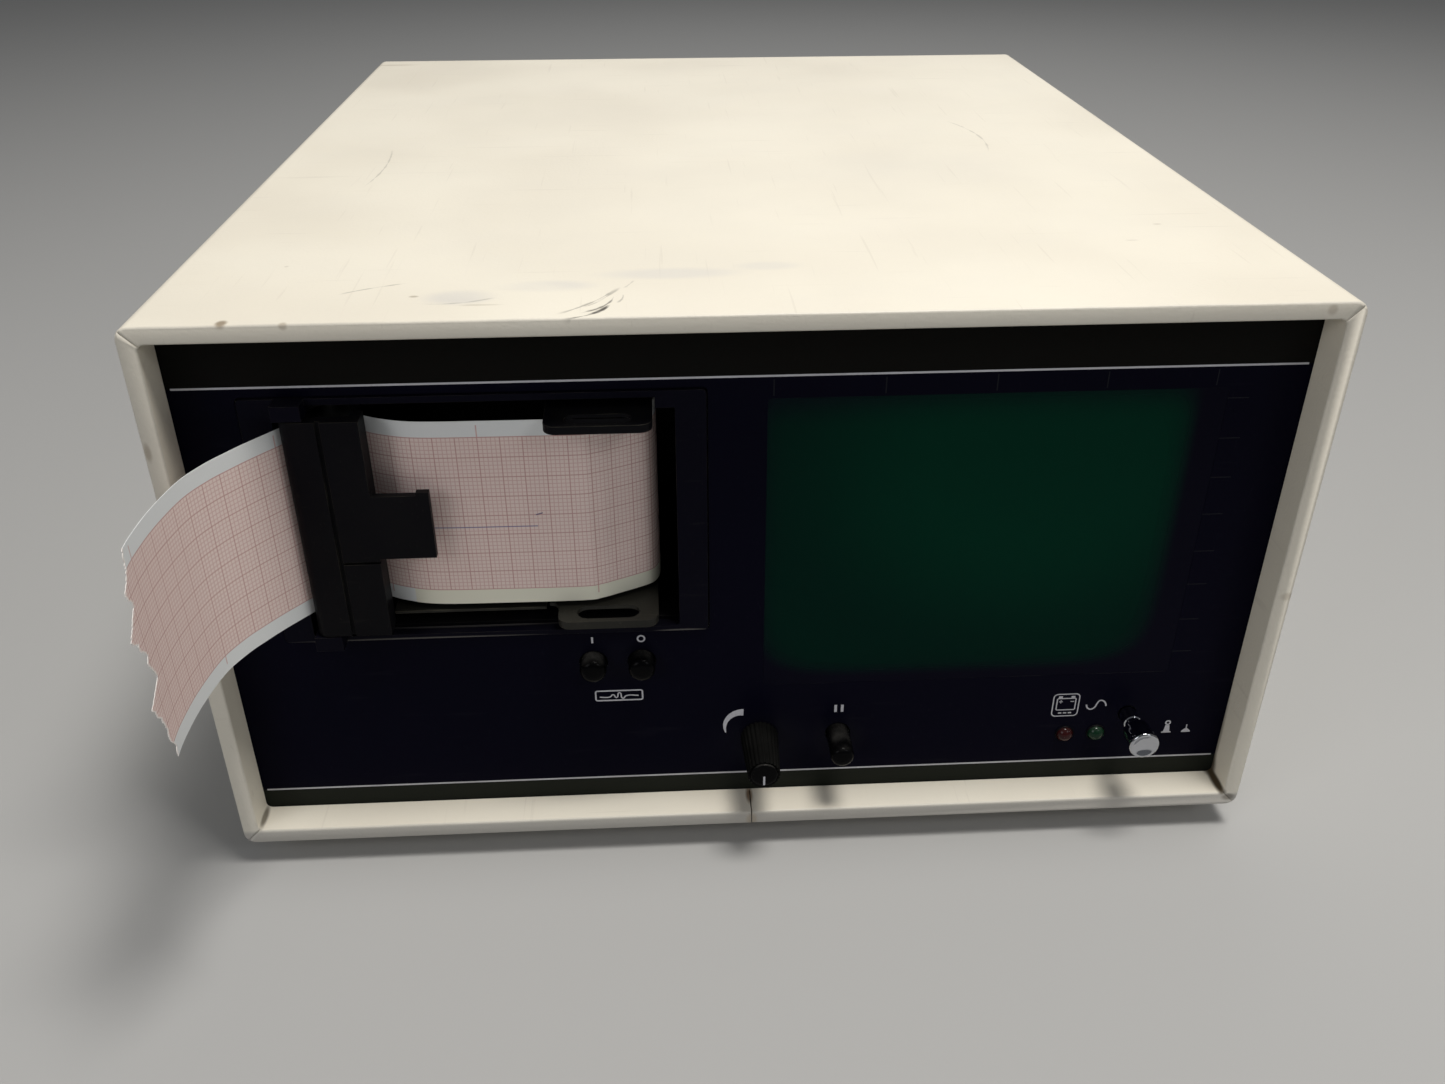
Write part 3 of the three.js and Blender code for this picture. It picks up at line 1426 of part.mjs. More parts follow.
function makeRearFittings() {
  const speakerFace = rearPanelInside - seatGap;
  const speaker = turnedBack([
    [0, -speakerDepth],
    [speakerMagnetRadius, -speakerDepth],
    [speakerMagnetRadius, -speakerDepth / 2],
    [speakerRadius, -speakerRimDepth],
    [speakerRadius, 0],
    [speakerRadius - speakerRimDepth, 0],
    [speakerConeRadius / 2, -speakerDepth / 2],
    [0, -speakerDepth / 2 + speakerRimDepth],
  ]);
  piece(monitor, "speaker", speaker, blackPlastic).position.set(speakerX, speakerFace, speakerZ);

  const inlet = place(monitor, inletX, rearPanelFace, inletZ);
  const flange = block(
    [-inletFlangeWidth / 2, seatGap, -inletFlangeHeight / 2],
    [inletFlangeWidth / 2, inletFlange, inletFlangeHeight / 2],
  );
  const shell = block(
    [-inletWidth / 2, inletFlange - inletDepth, -inletHeight / 2],
    [inletWidth / 2, inletFlange, inletHeight / 2],
  );
  const cavity = block(
    [-inletWidth / 2 + inletWall, inletFlange - inletCavity, -inletHeight / 2 + inletWall],
    [inletWidth / 2 - inletWall, inletFlange + cutOver, inletHeight / 2 - inletWall],
  );
  const pins = [-1, 0, 1].map((side) => {
    const x = side * inletPinPitch - inletPinWidth / 2;
    const z = (side === 0 ? inletPinLift : -inletPinLift) - inletPinHeight / 2;
    return block([x, inletFlange - inletDepth, z], [x + inletPinWidth, -inletFlange, z + inletPinHeight]);
  });
  piece(inlet, "mains_inlet", join(cut(join(flange, shell), cavity), ...pins), blackPlastic);

  const fuse = turnedBack([
    [0, -fuseBodyDepth],
    [fuseBodyRadius, -fuseBodyDepth],
    [fuseBodyRadius, seatGap],
    [fuseCapRadius, seatGap],
    [fuseCapRadius - buttonEdge, fuseCapDepth],
    [0, fuseCapDepth],
  ]);
  piece(monitor, "fuse_holder", fuse, blackPlastic).position.set(fuseX, rearPanelFace, inletZ);

  const socket = turnedBack([
    [0, -patientDepth],
    [patientBodyRadius, -patientDepth],
    [patientBodyRadius, seatGap],
    [patientRadius, seatGap],
    [patientRadius, patientReach],
    [patientBore, patientReach],
    [patientBore, -patientDepth + patientFloor],
    [0, -patientDepth + patientFloor],
  ]);
  piece(monitor, "patient_connector", socket, steel).position.set(patientX, rearPanelFace, patientZ);
}

export default monitor;
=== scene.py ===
# %% [markdown]
# # A portable heart monitor with a built-in strip-chart recorder
# The object is a flat cream steel case, 260 mm wide, with a dark printed front set back inside a folded
# rim. On the left a recorder feeds ruled paper out past a hinged gate; on the right a green window covers a
# small picture tube; knobs and buttons sit along the bottom. The engineering model already holds every
# solid in its place. This lesson dresses it: it keeps those places, models the pieces whose form shows, and
# gives each surface a finish that is worked out from its own position.

# %% Load the frame and keep its box
import json
import math

import bmesh
import bpy
import numpy as np
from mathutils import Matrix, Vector


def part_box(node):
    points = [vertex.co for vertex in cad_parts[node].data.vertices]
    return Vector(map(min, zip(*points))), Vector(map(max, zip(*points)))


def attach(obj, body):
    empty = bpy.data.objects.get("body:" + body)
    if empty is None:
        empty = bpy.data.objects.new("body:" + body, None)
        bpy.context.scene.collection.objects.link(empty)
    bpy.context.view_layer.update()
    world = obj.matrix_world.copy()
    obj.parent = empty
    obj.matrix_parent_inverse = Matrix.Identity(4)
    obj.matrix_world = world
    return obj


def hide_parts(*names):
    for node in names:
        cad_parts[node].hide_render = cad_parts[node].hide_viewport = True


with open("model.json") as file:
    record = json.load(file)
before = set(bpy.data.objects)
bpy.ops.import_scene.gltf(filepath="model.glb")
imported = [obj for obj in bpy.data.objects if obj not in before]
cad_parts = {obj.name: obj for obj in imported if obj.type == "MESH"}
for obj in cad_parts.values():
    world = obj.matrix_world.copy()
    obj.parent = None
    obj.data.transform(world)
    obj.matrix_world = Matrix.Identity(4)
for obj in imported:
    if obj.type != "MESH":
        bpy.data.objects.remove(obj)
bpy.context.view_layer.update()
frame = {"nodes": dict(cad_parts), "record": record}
nodes = frame["nodes"]

# %% [markdown]
# ## Millimetres from the front of the case
# A maker thinks of this case from its front: so far right of the middle, so far behind the rim, so far up
# from the underside. A few helpers turn such millimetres into the scene's metres and back, so the numbers
# below can be checked with a ruler against the case.

# %% Helpers for places
MM = 0.001
sleeve_low, sleeve_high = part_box("case_sleeve")
case_origin = Vector((0, sleeve_low[1], sleeve_low[2]))


def at(x, y, z):
    """A point in metres, from millimetres right of the middle, behind the rim and above the underside."""
    return case_origin + Vector((x, y, z)) * MM


def box_mm(node):
    """The lowest and highest corner of a node, in the same millimetres."""
    return [tuple((Vector(corner) - case_origin) / MM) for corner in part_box(node)]


def span_of(node, axis):
    """Where a node starts and ends along one axis: 0 to the right, 1 to the back, 2 up."""
    return [corner[axis] for corner in box_mm(node)]


def middle_of(node):
    """The middle of a node's box, in the same millimetres."""
    return [(low + high) / 2 for low, high in zip(*box_mm(node))]


case_wide, case_deep, case_high = [(high - low) / MM for low, high in zip(sleeve_low, sleeve_high)]
half_wide = case_wide / 2
print("case, in mm:", [round(size, 2) for size in (case_wide, case_deep, case_high)])

# %% [markdown]
# ## The camera
# The photograph looks down on the front from close by, slightly from the left. The place and the tilt were
# found by fitting the corners of the rim, the panel and the paper's printed squares, so that the same
# corners fall on the same spots of the picture.

# %% Camera
camera_data = bpy.data.cameras.new("photo_camera")
camera_data.sensor_width = 36
camera_data.lens = 31.307
camera = bpy.data.objects.new("photo_camera", camera_data)
bpy.context.scene.collection.objects.link(camera)
camera.location = (-0.02028, -0.37058, 0.23814)
camera.rotation_euler = [math.radians(turn) for turn in (59.4632, 0.0961, -3.1573)]
bpy.context.scene.camera = camera
print("camera stands", round(camera.location.length, 3), "m from the origin")

# %% [markdown]
# ## Helpers for modelling
# Each new piece starts as a primitive at its size and place, is shaped in edit mode, and ends with applied
# modifiers. Everything is deselected first, because an operator acts on all that is selected. Faces are
# then picked by a test on their middle and their normal, as one would click them by hand.

# %% Select and name
def fresh(*objects):
    """Leaves only these objects selected, the first of them active."""
    if bpy.context.mode != "OBJECT":
        bpy.ops.object.mode_set(mode="OBJECT")
    bpy.ops.object.select_all(action="DESELECT")
    for piece in objects:
        piece.select_set(True)
    if objects:
        bpy.context.view_layer.objects.active = objects[0]


def new_piece(name):
    """Names the primitive that was just added and bakes its place into its mesh."""
    piece = bpy.context.active_object
    piece.name = piece.data.name = name
    bpy.ops.object.transform_apply(location=True, rotation=True, scale=True)
    return piece

# %% Edit and apply
def edit(piece, pick=None, kind="FACE"):
    """Opens edit mode with the faces, edges or points that pick(middle, normal) accepts."""
    fresh(piece)
    bpy.ops.object.mode_set(mode="EDIT")
    bpy.ops.mesh.select_mode(type=kind)
    bpy.ops.mesh.select_all(action="SELECT" if pick is None else "DESELECT")
    if pick is None:
        return
    mesh = bmesh.from_edit_mesh(piece.data)
    mesh.normal_update()
    for item in {"FACE": mesh.faces, "EDGE": mesh.edges, "VERT": mesh.verts}[kind]:
        if kind == "FACE":
            middle, normal = item.calc_center_median(), item.normal
        elif kind == "EDGE":
            middle = (item.verts[0].co + item.verts[1].co) / 2
            normal = (item.verts[1].co - item.verts[0].co).normalized()
        else:
            middle, normal = item.co, item.normal
        if pick((middle - case_origin) / MM, normal):
            item.select_set(True)
    mesh.select_flush_mode()
    bmesh.update_edit_mesh(piece.data)


def done():
    """Goes back to object mode."""
    bpy.ops.object.mode_set(mode="OBJECT")


def applied(piece, kind, **values):
    """Adds one modifier, sets its values and applies it."""
    fresh(piece)
    modifier = piece.modifiers.new(kind.lower(), kind)
    for name, value in values.items():
        setattr(modifier, name, value)
    bpy.ops.object.modifier_apply(modifier=modifier.name)
    return piece

# %% Blocks, rods and turned pieces
AXES = {"X": (0, math.pi / 2, 0), "Y": (math.pi / 2, 0, 0), "Z": (0, 0, 0)}
MERGE = 0.002


def block(name, low, high):
    """A box between two corners."""
    fresh()
    size = [(top - bottom) * MM for bottom, top in zip(low, high)]
    middle = [(top + bottom) / 2 for bottom, top in zip(low, high)]
    bpy.ops.mesh.primitive_cube_add(size=1, location=at(*middle), scale=size)
    return new_piece(name)


def rod(name, middle, radius, length, axis, sides):
    """A round bar along one axis."""
    fresh()
    bpy.ops.mesh.primitive_cylinder_add(
        vertices=sides, radius=radius * MM, depth=length * MM, location=at(*middle), rotation=AXES[axis]
    )
    return new_piece(name)


def turned(name, profile, middle, axis, sides):
    """Spins a profile of (radius, distance along the axis) pairs round an axis through middle."""
    centre = at(*middle)
    along = Vector((0, 1, 0)) if axis == "Y" else Vector((0, 0, 1))
    spots = [centre + Vector((radius, 0, 0)) * MM + along * step * MM for radius, step in profile]
    fresh()
    bpy.ops.mesh.primitive_plane_add(size=MM, location=spots[0])
    piece = new_piece(name)
    edit(piece, kind="VERT")
    bpy.ops.mesh.merge(type="CENTER")
    for start, end in zip(spots, spots[1:]):
        bpy.ops.mesh.extrude_region_move(TRANSFORM_OT_translate={"value": end - start})
    bpy.ops.mesh.select_all(action="SELECT")
    bpy.ops.mesh.spin(steps=sides, angle=math.tau, center=centre, axis=along)
    bpy.ops.mesh.select_all(action="SELECT")
    bpy.ops.mesh.remove_doubles(threshold=MERGE * MM)
    bpy.ops.mesh.normals_make_consistent(inside=False)
    done()
    return piece

# %% Cutting, joining and copying
def cut(piece, *tools):
    """Cuts each tool out of the piece and removes the tool."""
    for tool in tools:
        applied(piece, "BOOLEAN", object=tool, operation="DIFFERENCE", solver="EXACT")
        bpy.data.objects.remove(tool)
    return piece


def one_object(name, pieces):
    """Joins loose pieces into one object without changing their faces."""
    fresh(*pieces)
    if len(pieces) > 1:
        bpy.ops.object.join()
    joined = bpy.context.active_object
    joined.name = joined.data.name = name
    return joined


def copy_of(piece, name, step):
    """The same piece again with its own mesh, moved by a step in millimetres."""
    twin = bpy.data.objects.new(name, piece.data.copy())
    twin.data.name = name
    bpy.context.scene.collection.objects.link(twin)
    fresh(twin)
    twin.location = Vector(step) * MM
    bpy.ops.object.transform_apply(location=True)
    return twin


def solid_of(node, name):
    """A copy of an engineering solid with its loose triangles merged and its flat faces made whole."""
    piece = bpy.data.objects.new(name, nodes[node].data.copy())
    piece.data.name = name
    piece.data.materials.clear()
    bpy.context.scene.collection.objects.link(piece)
    edit(piece)
    bpy.ops.mesh.remove_doubles(threshold=MERGE * MM)
    bpy.ops.mesh.dissolve_limited(angle_limit=math.radians(0.5))
    done()
    return piece

# %% [markdown]
# ## Softened edges that remember where they are
# No moulded or folded edge is truly sharp, and a softened edge is also where paint and sheen wear off
# first. The helper bevels the edges, then writes an attribute called "edge" on the points inside each
# bevel. The materials read it for their wear, so the wear follows the real edges instead of a painted map.

# %% Softened edges
def softened(piece, width, angle=35, segments=2, smooth=38):
    """Bevels edges sharper than the angle, marks the bevels for wear and shades the piece smoothly."""
    mesh = piece.data
    mesh.materials.clear()
    for spare in ("flat_spare", "bevel_spare"):
        mesh.materials.append(bpy.data.materials.get(spare) or bpy.data.materials.new(spare))
    applied(
        piece, "BEVEL", width=width * MM, segments=segments, limit_method="ANGLE",
        angle_limit=math.radians(angle), material=1, use_clamp_overlap=True,
    )
    bevel_only = np.ones(len(mesh.vertices), bool)
    for face in mesh.polygons:
        if face.material_index == 0:
            bevel_only[list(face.vertices)] = False
    edge = mesh.attributes.new("edge", "FLOAT", "POINT")
    edge.data.foreach_set("value", bevel_only.astype(np.float32))
    mesh.polygons.foreach_set("material_index", np.zeros(len(mesh.polygons), np.int32))
    mesh.materials.clear()
    fresh(piece)
    bpy.ops.object.shade_smooth_by_angle(angle=math.radians(smooth))
    applied(piece, "WEIGHTED_NORMAL", keep_sharp=True, weight=50)
    return piece


def smoothed(piece, angle):
    """Shades faces smoothly where they meet at less than an angle, in degrees."""
    fresh(piece)
    bpy.ops.object.shade_smooth_by_angle(angle=math.radians(angle))
    return piece


placed = []


def install(piece, finish, body, slot, *stands_for):
    """Gives a piece its material and the body it moves with, and hides the nodes it stands for; slot is not
    used.
    """
    piece.data.materials.clear()
    piece.data.materials.append(finish)
    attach(piece, body)
    if stands_for:
        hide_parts(*stands_for)
    triangles = sum(len(face.vertices) - 2 for face in piece.data.polygons)
    placed.append((piece.name, triangles))
    print(f"{piece.name}: {triangles} triangles on {body}")
    return piece

# %% [markdown]
# ## Floor, daylight and lamps
# A product picture needs little: a pale floor that runs past the view, an even sky and a few large soft
# lamps. The strongest lamp hangs above and a little in front on the right, as the photograph's shadows
# tell, so the top is brightest, the rim's face is greyer and the knob's shadow falls on the lower rim. Two
# weak lamps in front, right and left, lift the front out of the shade, and one behind lights the back.

# %% Floor
fresh()
bpy.ops.mesh.primitive_plane_add(size=6, location=(0, 0, 0))
floor = new_piece("studio_floor")
floor_finish = bpy.data.materials.new("studio_floor")
floor_finish.use_nodes = True
floor_shader = floor_finish.node_tree.nodes["Principled BSDF"]
floor_shader.inputs["Base Color"].default_value = (0.40, 0.40, 0.395, 1)
floor_shader.inputs["Roughness"].default_value = 0.8
floor.data.materials.append(floor_finish)
print("floor laid:", floor.name)

# %% Sky and lamps
world = bpy.data.worlds.new("studio_sky")
world.use_nodes = True
world.node_tree.nodes["Background"].inputs["Color"].default_value = (0.93, 0.96, 1.0, 1)
world.node_tree.nodes["Background"].inputs["Strength"].default_value = 0.13
bpy.context.scene.world = world
bpy.context.scene.view_settings.view_transform = "Standard"


def lamp(name, place, aim, size, watts, colour=(1, 1, 1)):
    """A square soft lamp that faces a point."""
    data = bpy.data.lights.new(name, "AREA")
    data.size, data.energy, data.color = size, watts, colour
    light = bpy.data.objects.new(name, data)
    bpy.context.scene.collection.objects.link(light)
    light.location = place
    light.rotation_euler = (Vector(aim) - Vector(place)).to_track_quat("-Z", "Y").to_euler()
    return light


lamp("ceiling_lamp", (0.25, -0.215, 1.28), (0, 0, 0.08), 0.38, 15.0, (1.0, 0.97, 0.925))
lamp("right_lamp", (0.8, -0.9, 0.9), (0, -0.1, 0.08), 0.36, 1.6, (0.98, 0.98, 1.0))
lamp("left_lamp", (-0.9, -0.95, 0.7), (0, -0.1, 0.08), 0.6, 3.0, (0.98, 0.98, 1.0))
lamp("back_lamp", (0.2, 1.1, 0.9), (0, 0, 0.1), 0.9, 1.5)

# %% [markdown]
# ## Shared effects
# Every finish here is built from a few effects: the fine grain of a surface, a slow drift of its colour,
# hair scratches, wear on the softened edges, and dust that settles on what faces up. Each is a node group,
# made once, with named inputs for its size and strength, and each reads only the piece's own position,
# normal or edge attribute. So a pattern stays put when the piece moves or the camera goes round.

# %% Helpers for node groups
def group(name, inputs, outputs):
    """A new shader group with inputs (name, value), a number or a vector, and named number outputs."""
    tree = bpy.data.node_groups.new(name, "ShaderNodeTree")
    for label, value in inputs:
        kind = "NodeSocketVector" if isinstance(value, tuple) else "NodeSocketFloat"
        tree.interface.new_socket(label, in_out="INPUT", socket_type=kind).default_value = value
    for label in outputs:
        tree.interface.new_socket(label, in_out="OUTPUT", socket_type="NodeSocketFloat")
    print("effect:", name)
    return tree, tree.nodes.new("NodeGroupInput").outputs, tree.nodes.new("NodeGroupOutput").inputs


def node(tree, kind, *links, **settings):
    """One node; links are (socket name or number, value or output), settings are its properties."""
    made = tree.nodes.new("ShaderNode" + kind)
    for name, value in settings.items():
        setattr(made, name, value)
    for socket, value in links:
        if isinstance(value, bpy.types.NodeSocket):
            tree.links.new(value, made.inputs[socket])
        else:
            made.inputs[socket].default_value = value
    return made

# %% Sums, ramps and noise
def math_of(tree, operation, first, second=0.0, clamp=False):
    """The result of one sum or comparison."""
    return node(tree, "Math", (0, first), (1, second), operation=operation, use_clamp=clamp).outputs[0]


def apart(tree, first, second):
    """How far two numbers lie apart."""
    return math_of(tree, "ABSOLUTE", math_of(tree, "SUBTRACT", first, second))


def times(tree, *values):
    """The product of two or more values."""
    product = values[0]
    for value in values[1:]:
        product = math_of(tree, "MULTIPLY", product, value)
    return product


def ramp(tree, value, low, high, start=0.0, end=1.0):
    """Maps low..high to start..end along a soft step, clamped."""
    made = node(
        tree, "MapRange", ("Value", value), ("From Min", low), ("From Max", high),
        ("To Min", start), ("To Max", end), interpolation_type="SMOOTHSTEP",
    )
    return made.outputs["Result"]


def here(tree):
    """The place on the piece, in metres of the shared frame."""
    return node(tree, "TexCoord").outputs["Object"]


def noise(tree, place, scale, detail):
    """A cloudy noise between 0 and 1."""
    return node(tree, "TexNoise", ("Vector", place), ("Scale", scale), ("Detail", detail)).outputs[0]


def vectors(tree, operation, first, second):
    """The result of one operation on two vectors."""
    return node(tree, "VectorMath", (0, first), (1, second), operation=operation).outputs[0]


def parts_of(tree, vector):
    """The X, Y and Z of a vector, as outputs of those names."""
    return node(tree, "SeparateXYZ", ("Vector", vector)).outputs


def length_of(tree, vector):
    """How long a vector is."""
    return node(tree, "VectorMath", (0, vector), operation="LENGTH").outputs["Value"]

# %% Grain and drift
tree, into, out = group("surface_grain", [("Grain Scale", 900.0), ("Drift Scale", 18.0)], ["Grain", "Drift"])
place = here(tree)
tree.links.new(ramp(tree, noise(tree, place, into["Grain Scale"], 3.0), 0.3, 0.7), out["Grain"])
tree.links.new(ramp(tree, noise(tree, place, into["Drift Scale"], 5.0), 0.3, 0.7), out["Drift"])

# %% Hair scratches in two directions
tree, into, out = group("hair_scratches", [("Scale", 60.0), ("Amount", 0.5)], ["Scratches"])
place = here(tree)
hairs = []
for turn, stretch in (((0.1, 0.2, 0.5), (1.0, 26.0, 9.0)), ((0.3, 0.1, -0.8), (30.0, 1.0, 11.0))):
    bent = node(tree, "Mapping", ("Vector", place), ("Rotation", turn), ("Scale", stretch)).outputs[0]
    hairs.append(ramp(tree, noise(tree, bent, into["Scale"], 2.0), 0.66, 0.76))
tree.links.new(times(tree, math_of(tree, "MAXIMUM", *hairs), into["Amount"]), out["Scratches"])

# %% Worn edges, broken up by noise
tree, into, out = group("worn_edges", [("Breakup Scale", 120.0), ("Amount", 0.7)], ["Wear"])
edge = node(tree, "Attribute", attribute_name="edge").outputs["Fac"]
broken = ramp(tree, noise(tree, here(tree), into["Breakup Scale"], 4.0), 0.38, 0.62, 0.15, 1.0)
tree.links.new(times(tree, ramp(tree, edge, 0.25, 0.9), broken, into["Amount"]), out["Wear"])

# %% Dust on what faces up
tree, into, out = group("settled_dust", [("Scale", 70.0), ("Amount", 0.3)], ["Dust"])
coordinates = node(tree, "TexCoord").outputs
facing = parts_of(tree, coordinates["Normal"])["Z"]
flakes = ramp(tree, noise(tree, coordinates["Object"], into["Scale"], 6.0), 0.35, 0.75)
tree.links.new(times(tree, ramp(tree, facing, 0.4, 0.95), flakes, into["Amount"]), out["Dust"])

# %% A soft spot at one place
def share_of_reach(tree, centre, reach):
    """How far off a centre the place is: 0 there and 1 at its reach, which may differ by axis."""
    away = vectors(tree, "SUBTRACT", here(tree), centre)
    return length_of(tree, vectors(tree, "DIVIDE", away, reach))


tree, into, out = group("soft_spot", [("Centre", (0.0, 0.0, 0.0)), ("Reach", (1.0, 1.0, 1.0))], ["Spot"])
share = share_of_reach(tree, into["Centre"], into["Reach"])
tree.links.new(ramp(tree, share, 0.35, 1.0, 1.0, 0.0), out["Spot"])

# %% A curved scratch on a level face
tree, into, out = group(
    "arc_scratch",
    [("Centre", (0.0, 0.0, 0.0)), ("Radius", 1.0), ("Width", 0.0003), ("Middle", (0.0, 0.0, 0.0)),
     ("Reach", (1.0, 1.0, 1.0))],
    ["Scratch"],
)
wander = noise(tree, here(tree), 260.0, 2.0)
away = vectors(tree, "SUBTRACT", here(tree), into["Centre"])
radius = length_of(tree, vectors(tree, "MULTIPLY", away, (1, 1, 0)))
off = apart(tree, radius, into["Radius"])
drawn = times(tree, into["Width"], ramp(tree, wander, 0.35, 0.7, 0.2, 1.3))
line = math_of(tree, "SUBTRACT", 1.0, math_of(tree, "DIVIDE", off, drawn), True)
share = share_of_reach(tree, into["Middle"], into["Reach"])
tree.links.new(times(tree, line, ramp(tree, share, 0.5, 1.0, 1.0, 0.0)), out["Scratch"])

# %% Ruled lines
tree, into, out = group(
    "ruled_lines", [("Along", 0.0), ("Pitch", 5.0), ("Width", 0.2), ("Start", 0.0)], ["Line"]
)
steps = math_of(tree, "DIVIDE", math_of(tree, "SUBTRACT", into["Along"], into["Start"]), into["Pitch"])
nearest = apart(tree, steps, math_of(tree, "ROUND", steps))
inside = math_of(tree, "SUBTRACT", times(tree, into["Width"], 0.5), times(tree, nearest, into["Pitch"]))
tree.links.new(ramp(tree, inside, -0.05, 0.05), out["Line"])

# %% [markdown]
# ## One recipe for moulded, painted and plated surfaces
# Most finishes differ only in their numbers: the main colour and the one it drifts to, the colour that wear
# and dust leave, how rough it is where handled and where not, and how deep its grain is. The helper joins
# the shared effects in that order and leaves the Principled shader in the material, where uniform values
# such as the metallic share and the coat are set on its own sockets.

# %% Effects and mixes inside a material
def placed_group(tree, name, **values):
    """A shared effect in this tree, with its own values; returns its outputs."""
    made = tree.nodes.new("ShaderNodeGroup")
    made.node_tree = bpy.data.node_groups[name]
    for label, value in values.items():
        socket = made.inputs[label.replace("_", " ")]
        if isinstance(value, bpy.types.NodeSocket):
            tree.links.new(value, socket)
        else:
            socket.default_value = value
    return made.outputs


def mixed(tree, share, first, second):
    """A colour between two others; each is an (r, g, b) or another node's output."""
    made = node(tree, "Mix", ("Factor", share), data_type="RGBA")
    for socket, colour in ((6, first), (7, second)):
        if isinstance(colour, bpy.types.NodeSocket):
            tree.links.new(colour, made.inputs[socket])
        else:
            made.inputs[socket].default_value = (*colour, 1)
    return made.outputs[2]

# %% The recipe
drift_smooths, dust_roughens, scratch_deep = 0.6, 0.3, 0.8


class Finish:
    """A material under construction: its tree, its shader and the masks of the shared effects."""

    def __init__(self, name, grain, drift, scratch, wear, dust):
        """Scales of the grain and the drift, then scale and amount of scratches, wear and dust."""
        self.material = bpy.data.materials.new(name)
        self.material.use_nodes = True
        self.tree = self.material.node_tree
        self.shader = self.tree.nodes["Principled BSDF"]
        surface = placed_group(self.tree, "surface_grain", Grain_Scale=grain, Drift_Scale=drift)
        self.grain, self.drift = surface["Grain"], surface["Drift"]
        self.scratch = placed_group(self.tree, "hair_scratches", Scale=scratch[0], Amount=scratch[1])[0]
        self.wear = placed_group(self.tree, "worn_edges", Breakup_Scale=wear[0], Amount=wear[1])[0]
        self.dust = placed_group(self.tree, "settled_dust", Scale=dust[0], Amount=dust[1])[0]

    def colour(self, base, drifted, scratched, worn, dusty=(0.62, 0.6, 0.55)):
        """Joins the colours in the order in which the surface got them."""
        shade = base
        masks = (self.drift, self.scratch, self.wear, self.dust)
        for mask, colour in zip(masks, (drifted, scratched, worn, dusty)):
            shade = mixed(self.tree, mask, shade, colour)
        self.shade = shade
        return self

    def tint(self, mask, colour):
        """Lays one more colour over the rest where a mask says so."""
        self.shade = mixed(self.tree, mask, self.shade, colour)
        return self

    def spot(self, centre, reach, colour, strength=1.0, breakup=True):
        """Lays a soft spot at a place in millimetres, broken up by the drift."""
        reach = tuple(size * MM for size in reach)
        spot = placed_group(self.tree, "soft_spot", Centre=tuple(at(*centre)), Reach=reach)[0]
        if breakup:
            spot = times(self.tree, spot, ramp(self.tree, self.drift, 0.2, 0.8, 0.35, 1.0))
        return self.tint(times(self.tree, spot, strength), colour)

    def arc(self, centre, radius, width, middle, reach, colour, strength=1.0):
        """Draws part of a circle on a level face, as a scratch that fades at its ends; all in millimetres."""
        line = placed_group(
            self.tree, "arc_scratch", Centre=tuple(at(*centre)), Radius=radius * MM, Width=width * MM,
            Middle=tuple(at(*middle)), Reach=tuple(size * MM for size in reach),
        )[0]
        return self.tint(times(self.tree, line, strength), colour)

    def made(self, rough, handled, depth, metallic=0.0, coat=0.0, specular=0.5):
        """Closes the material: roughness between two values, bump of a depth in millimetres."""
        tree, sockets = self.tree, self.shader.inputs
        tree.links.new(self.shade, sockets["Base Color"])
        smoother = math_of(tree, "ADD", times(tree, self.drift, drift_smooths), self.wear, True)
        matter = ramp(tree, smoother, 0.0, 1.0, rough, handled)
        dusted = times(tree, self.dust, dust_roughens)
        tree.links.new(math_of(tree, "ADD", matter, dusted, True), sockets["Roughness"])
        height = math_of(tree, "SUBTRACT", self.grain, times(tree, self.scratch, scratch_deep))
        bump = node(tree, "Bump", ("Height", height), ("Distance", depth * MM), ("Strength", 1.0))
        tree.links.new(bump.outputs[0], sockets["Normal"])
        for name, value in (
            ("Metallic", metallic), ("Coat Weight", coat), ("Coat Roughness", 0.08),
            ("Specular IOR Level", specular),
        ):
            sockets[name].default_value = value
        return self.material

# %% [markdown]
# ## Painted steel
# The case is enamelled in a warm white with a slight orange peel. Years of carrying left brown and grey
# marks: hair scratches and rubbed places near the front of the top, thin dark mitre lines where the rim's
# four sides meet, and a rusty run at the seam in the middle of the lower rim. The rim's front face is
# painted greyer and its lower face grey as painted shade, and painted shade darkens the right inner wall
# where it meets the film.

# %% Case paint
paint = Finish("case_enamel", 1300.0, 14.0, (26.0, 0.16), (90.0, 0.5), (40.0, 0.1))
paint.colour((0.80, 0.755, 0.645), (0.765, 0.715, 0.605), (0.45, 0.40, 0.33), (0.56, 0.53, 0.46))
where = parts_of(paint.tree, here(paint.tree))
# Painted shade: the rim's front face faces forward, gets less light than the top and is painted greyer.
painted_rim_shade = ramp(paint.tree, where["Y"], case_origin.y, case_origin.y + 0.8 * MM, 1.0, 0.0)
paint.tint(times(paint.tree, painted_rim_shade, 0.35), (0.52, 0.50, 0.45))
# Painted shade: the rolled lower face of the front rim is painted grey.
painted_low_shade = ramp(paint.tree, where["Z"], case_origin.z + 3 * MM, case_origin.z + 4.5 * MM, 1.0, 0.0)
paint.tint(times(paint.tree, painted_low_shade, painted_rim_shade, 0.6), (0.30, 0.295, 0.29))
print("paint laid, with a greyer rim")

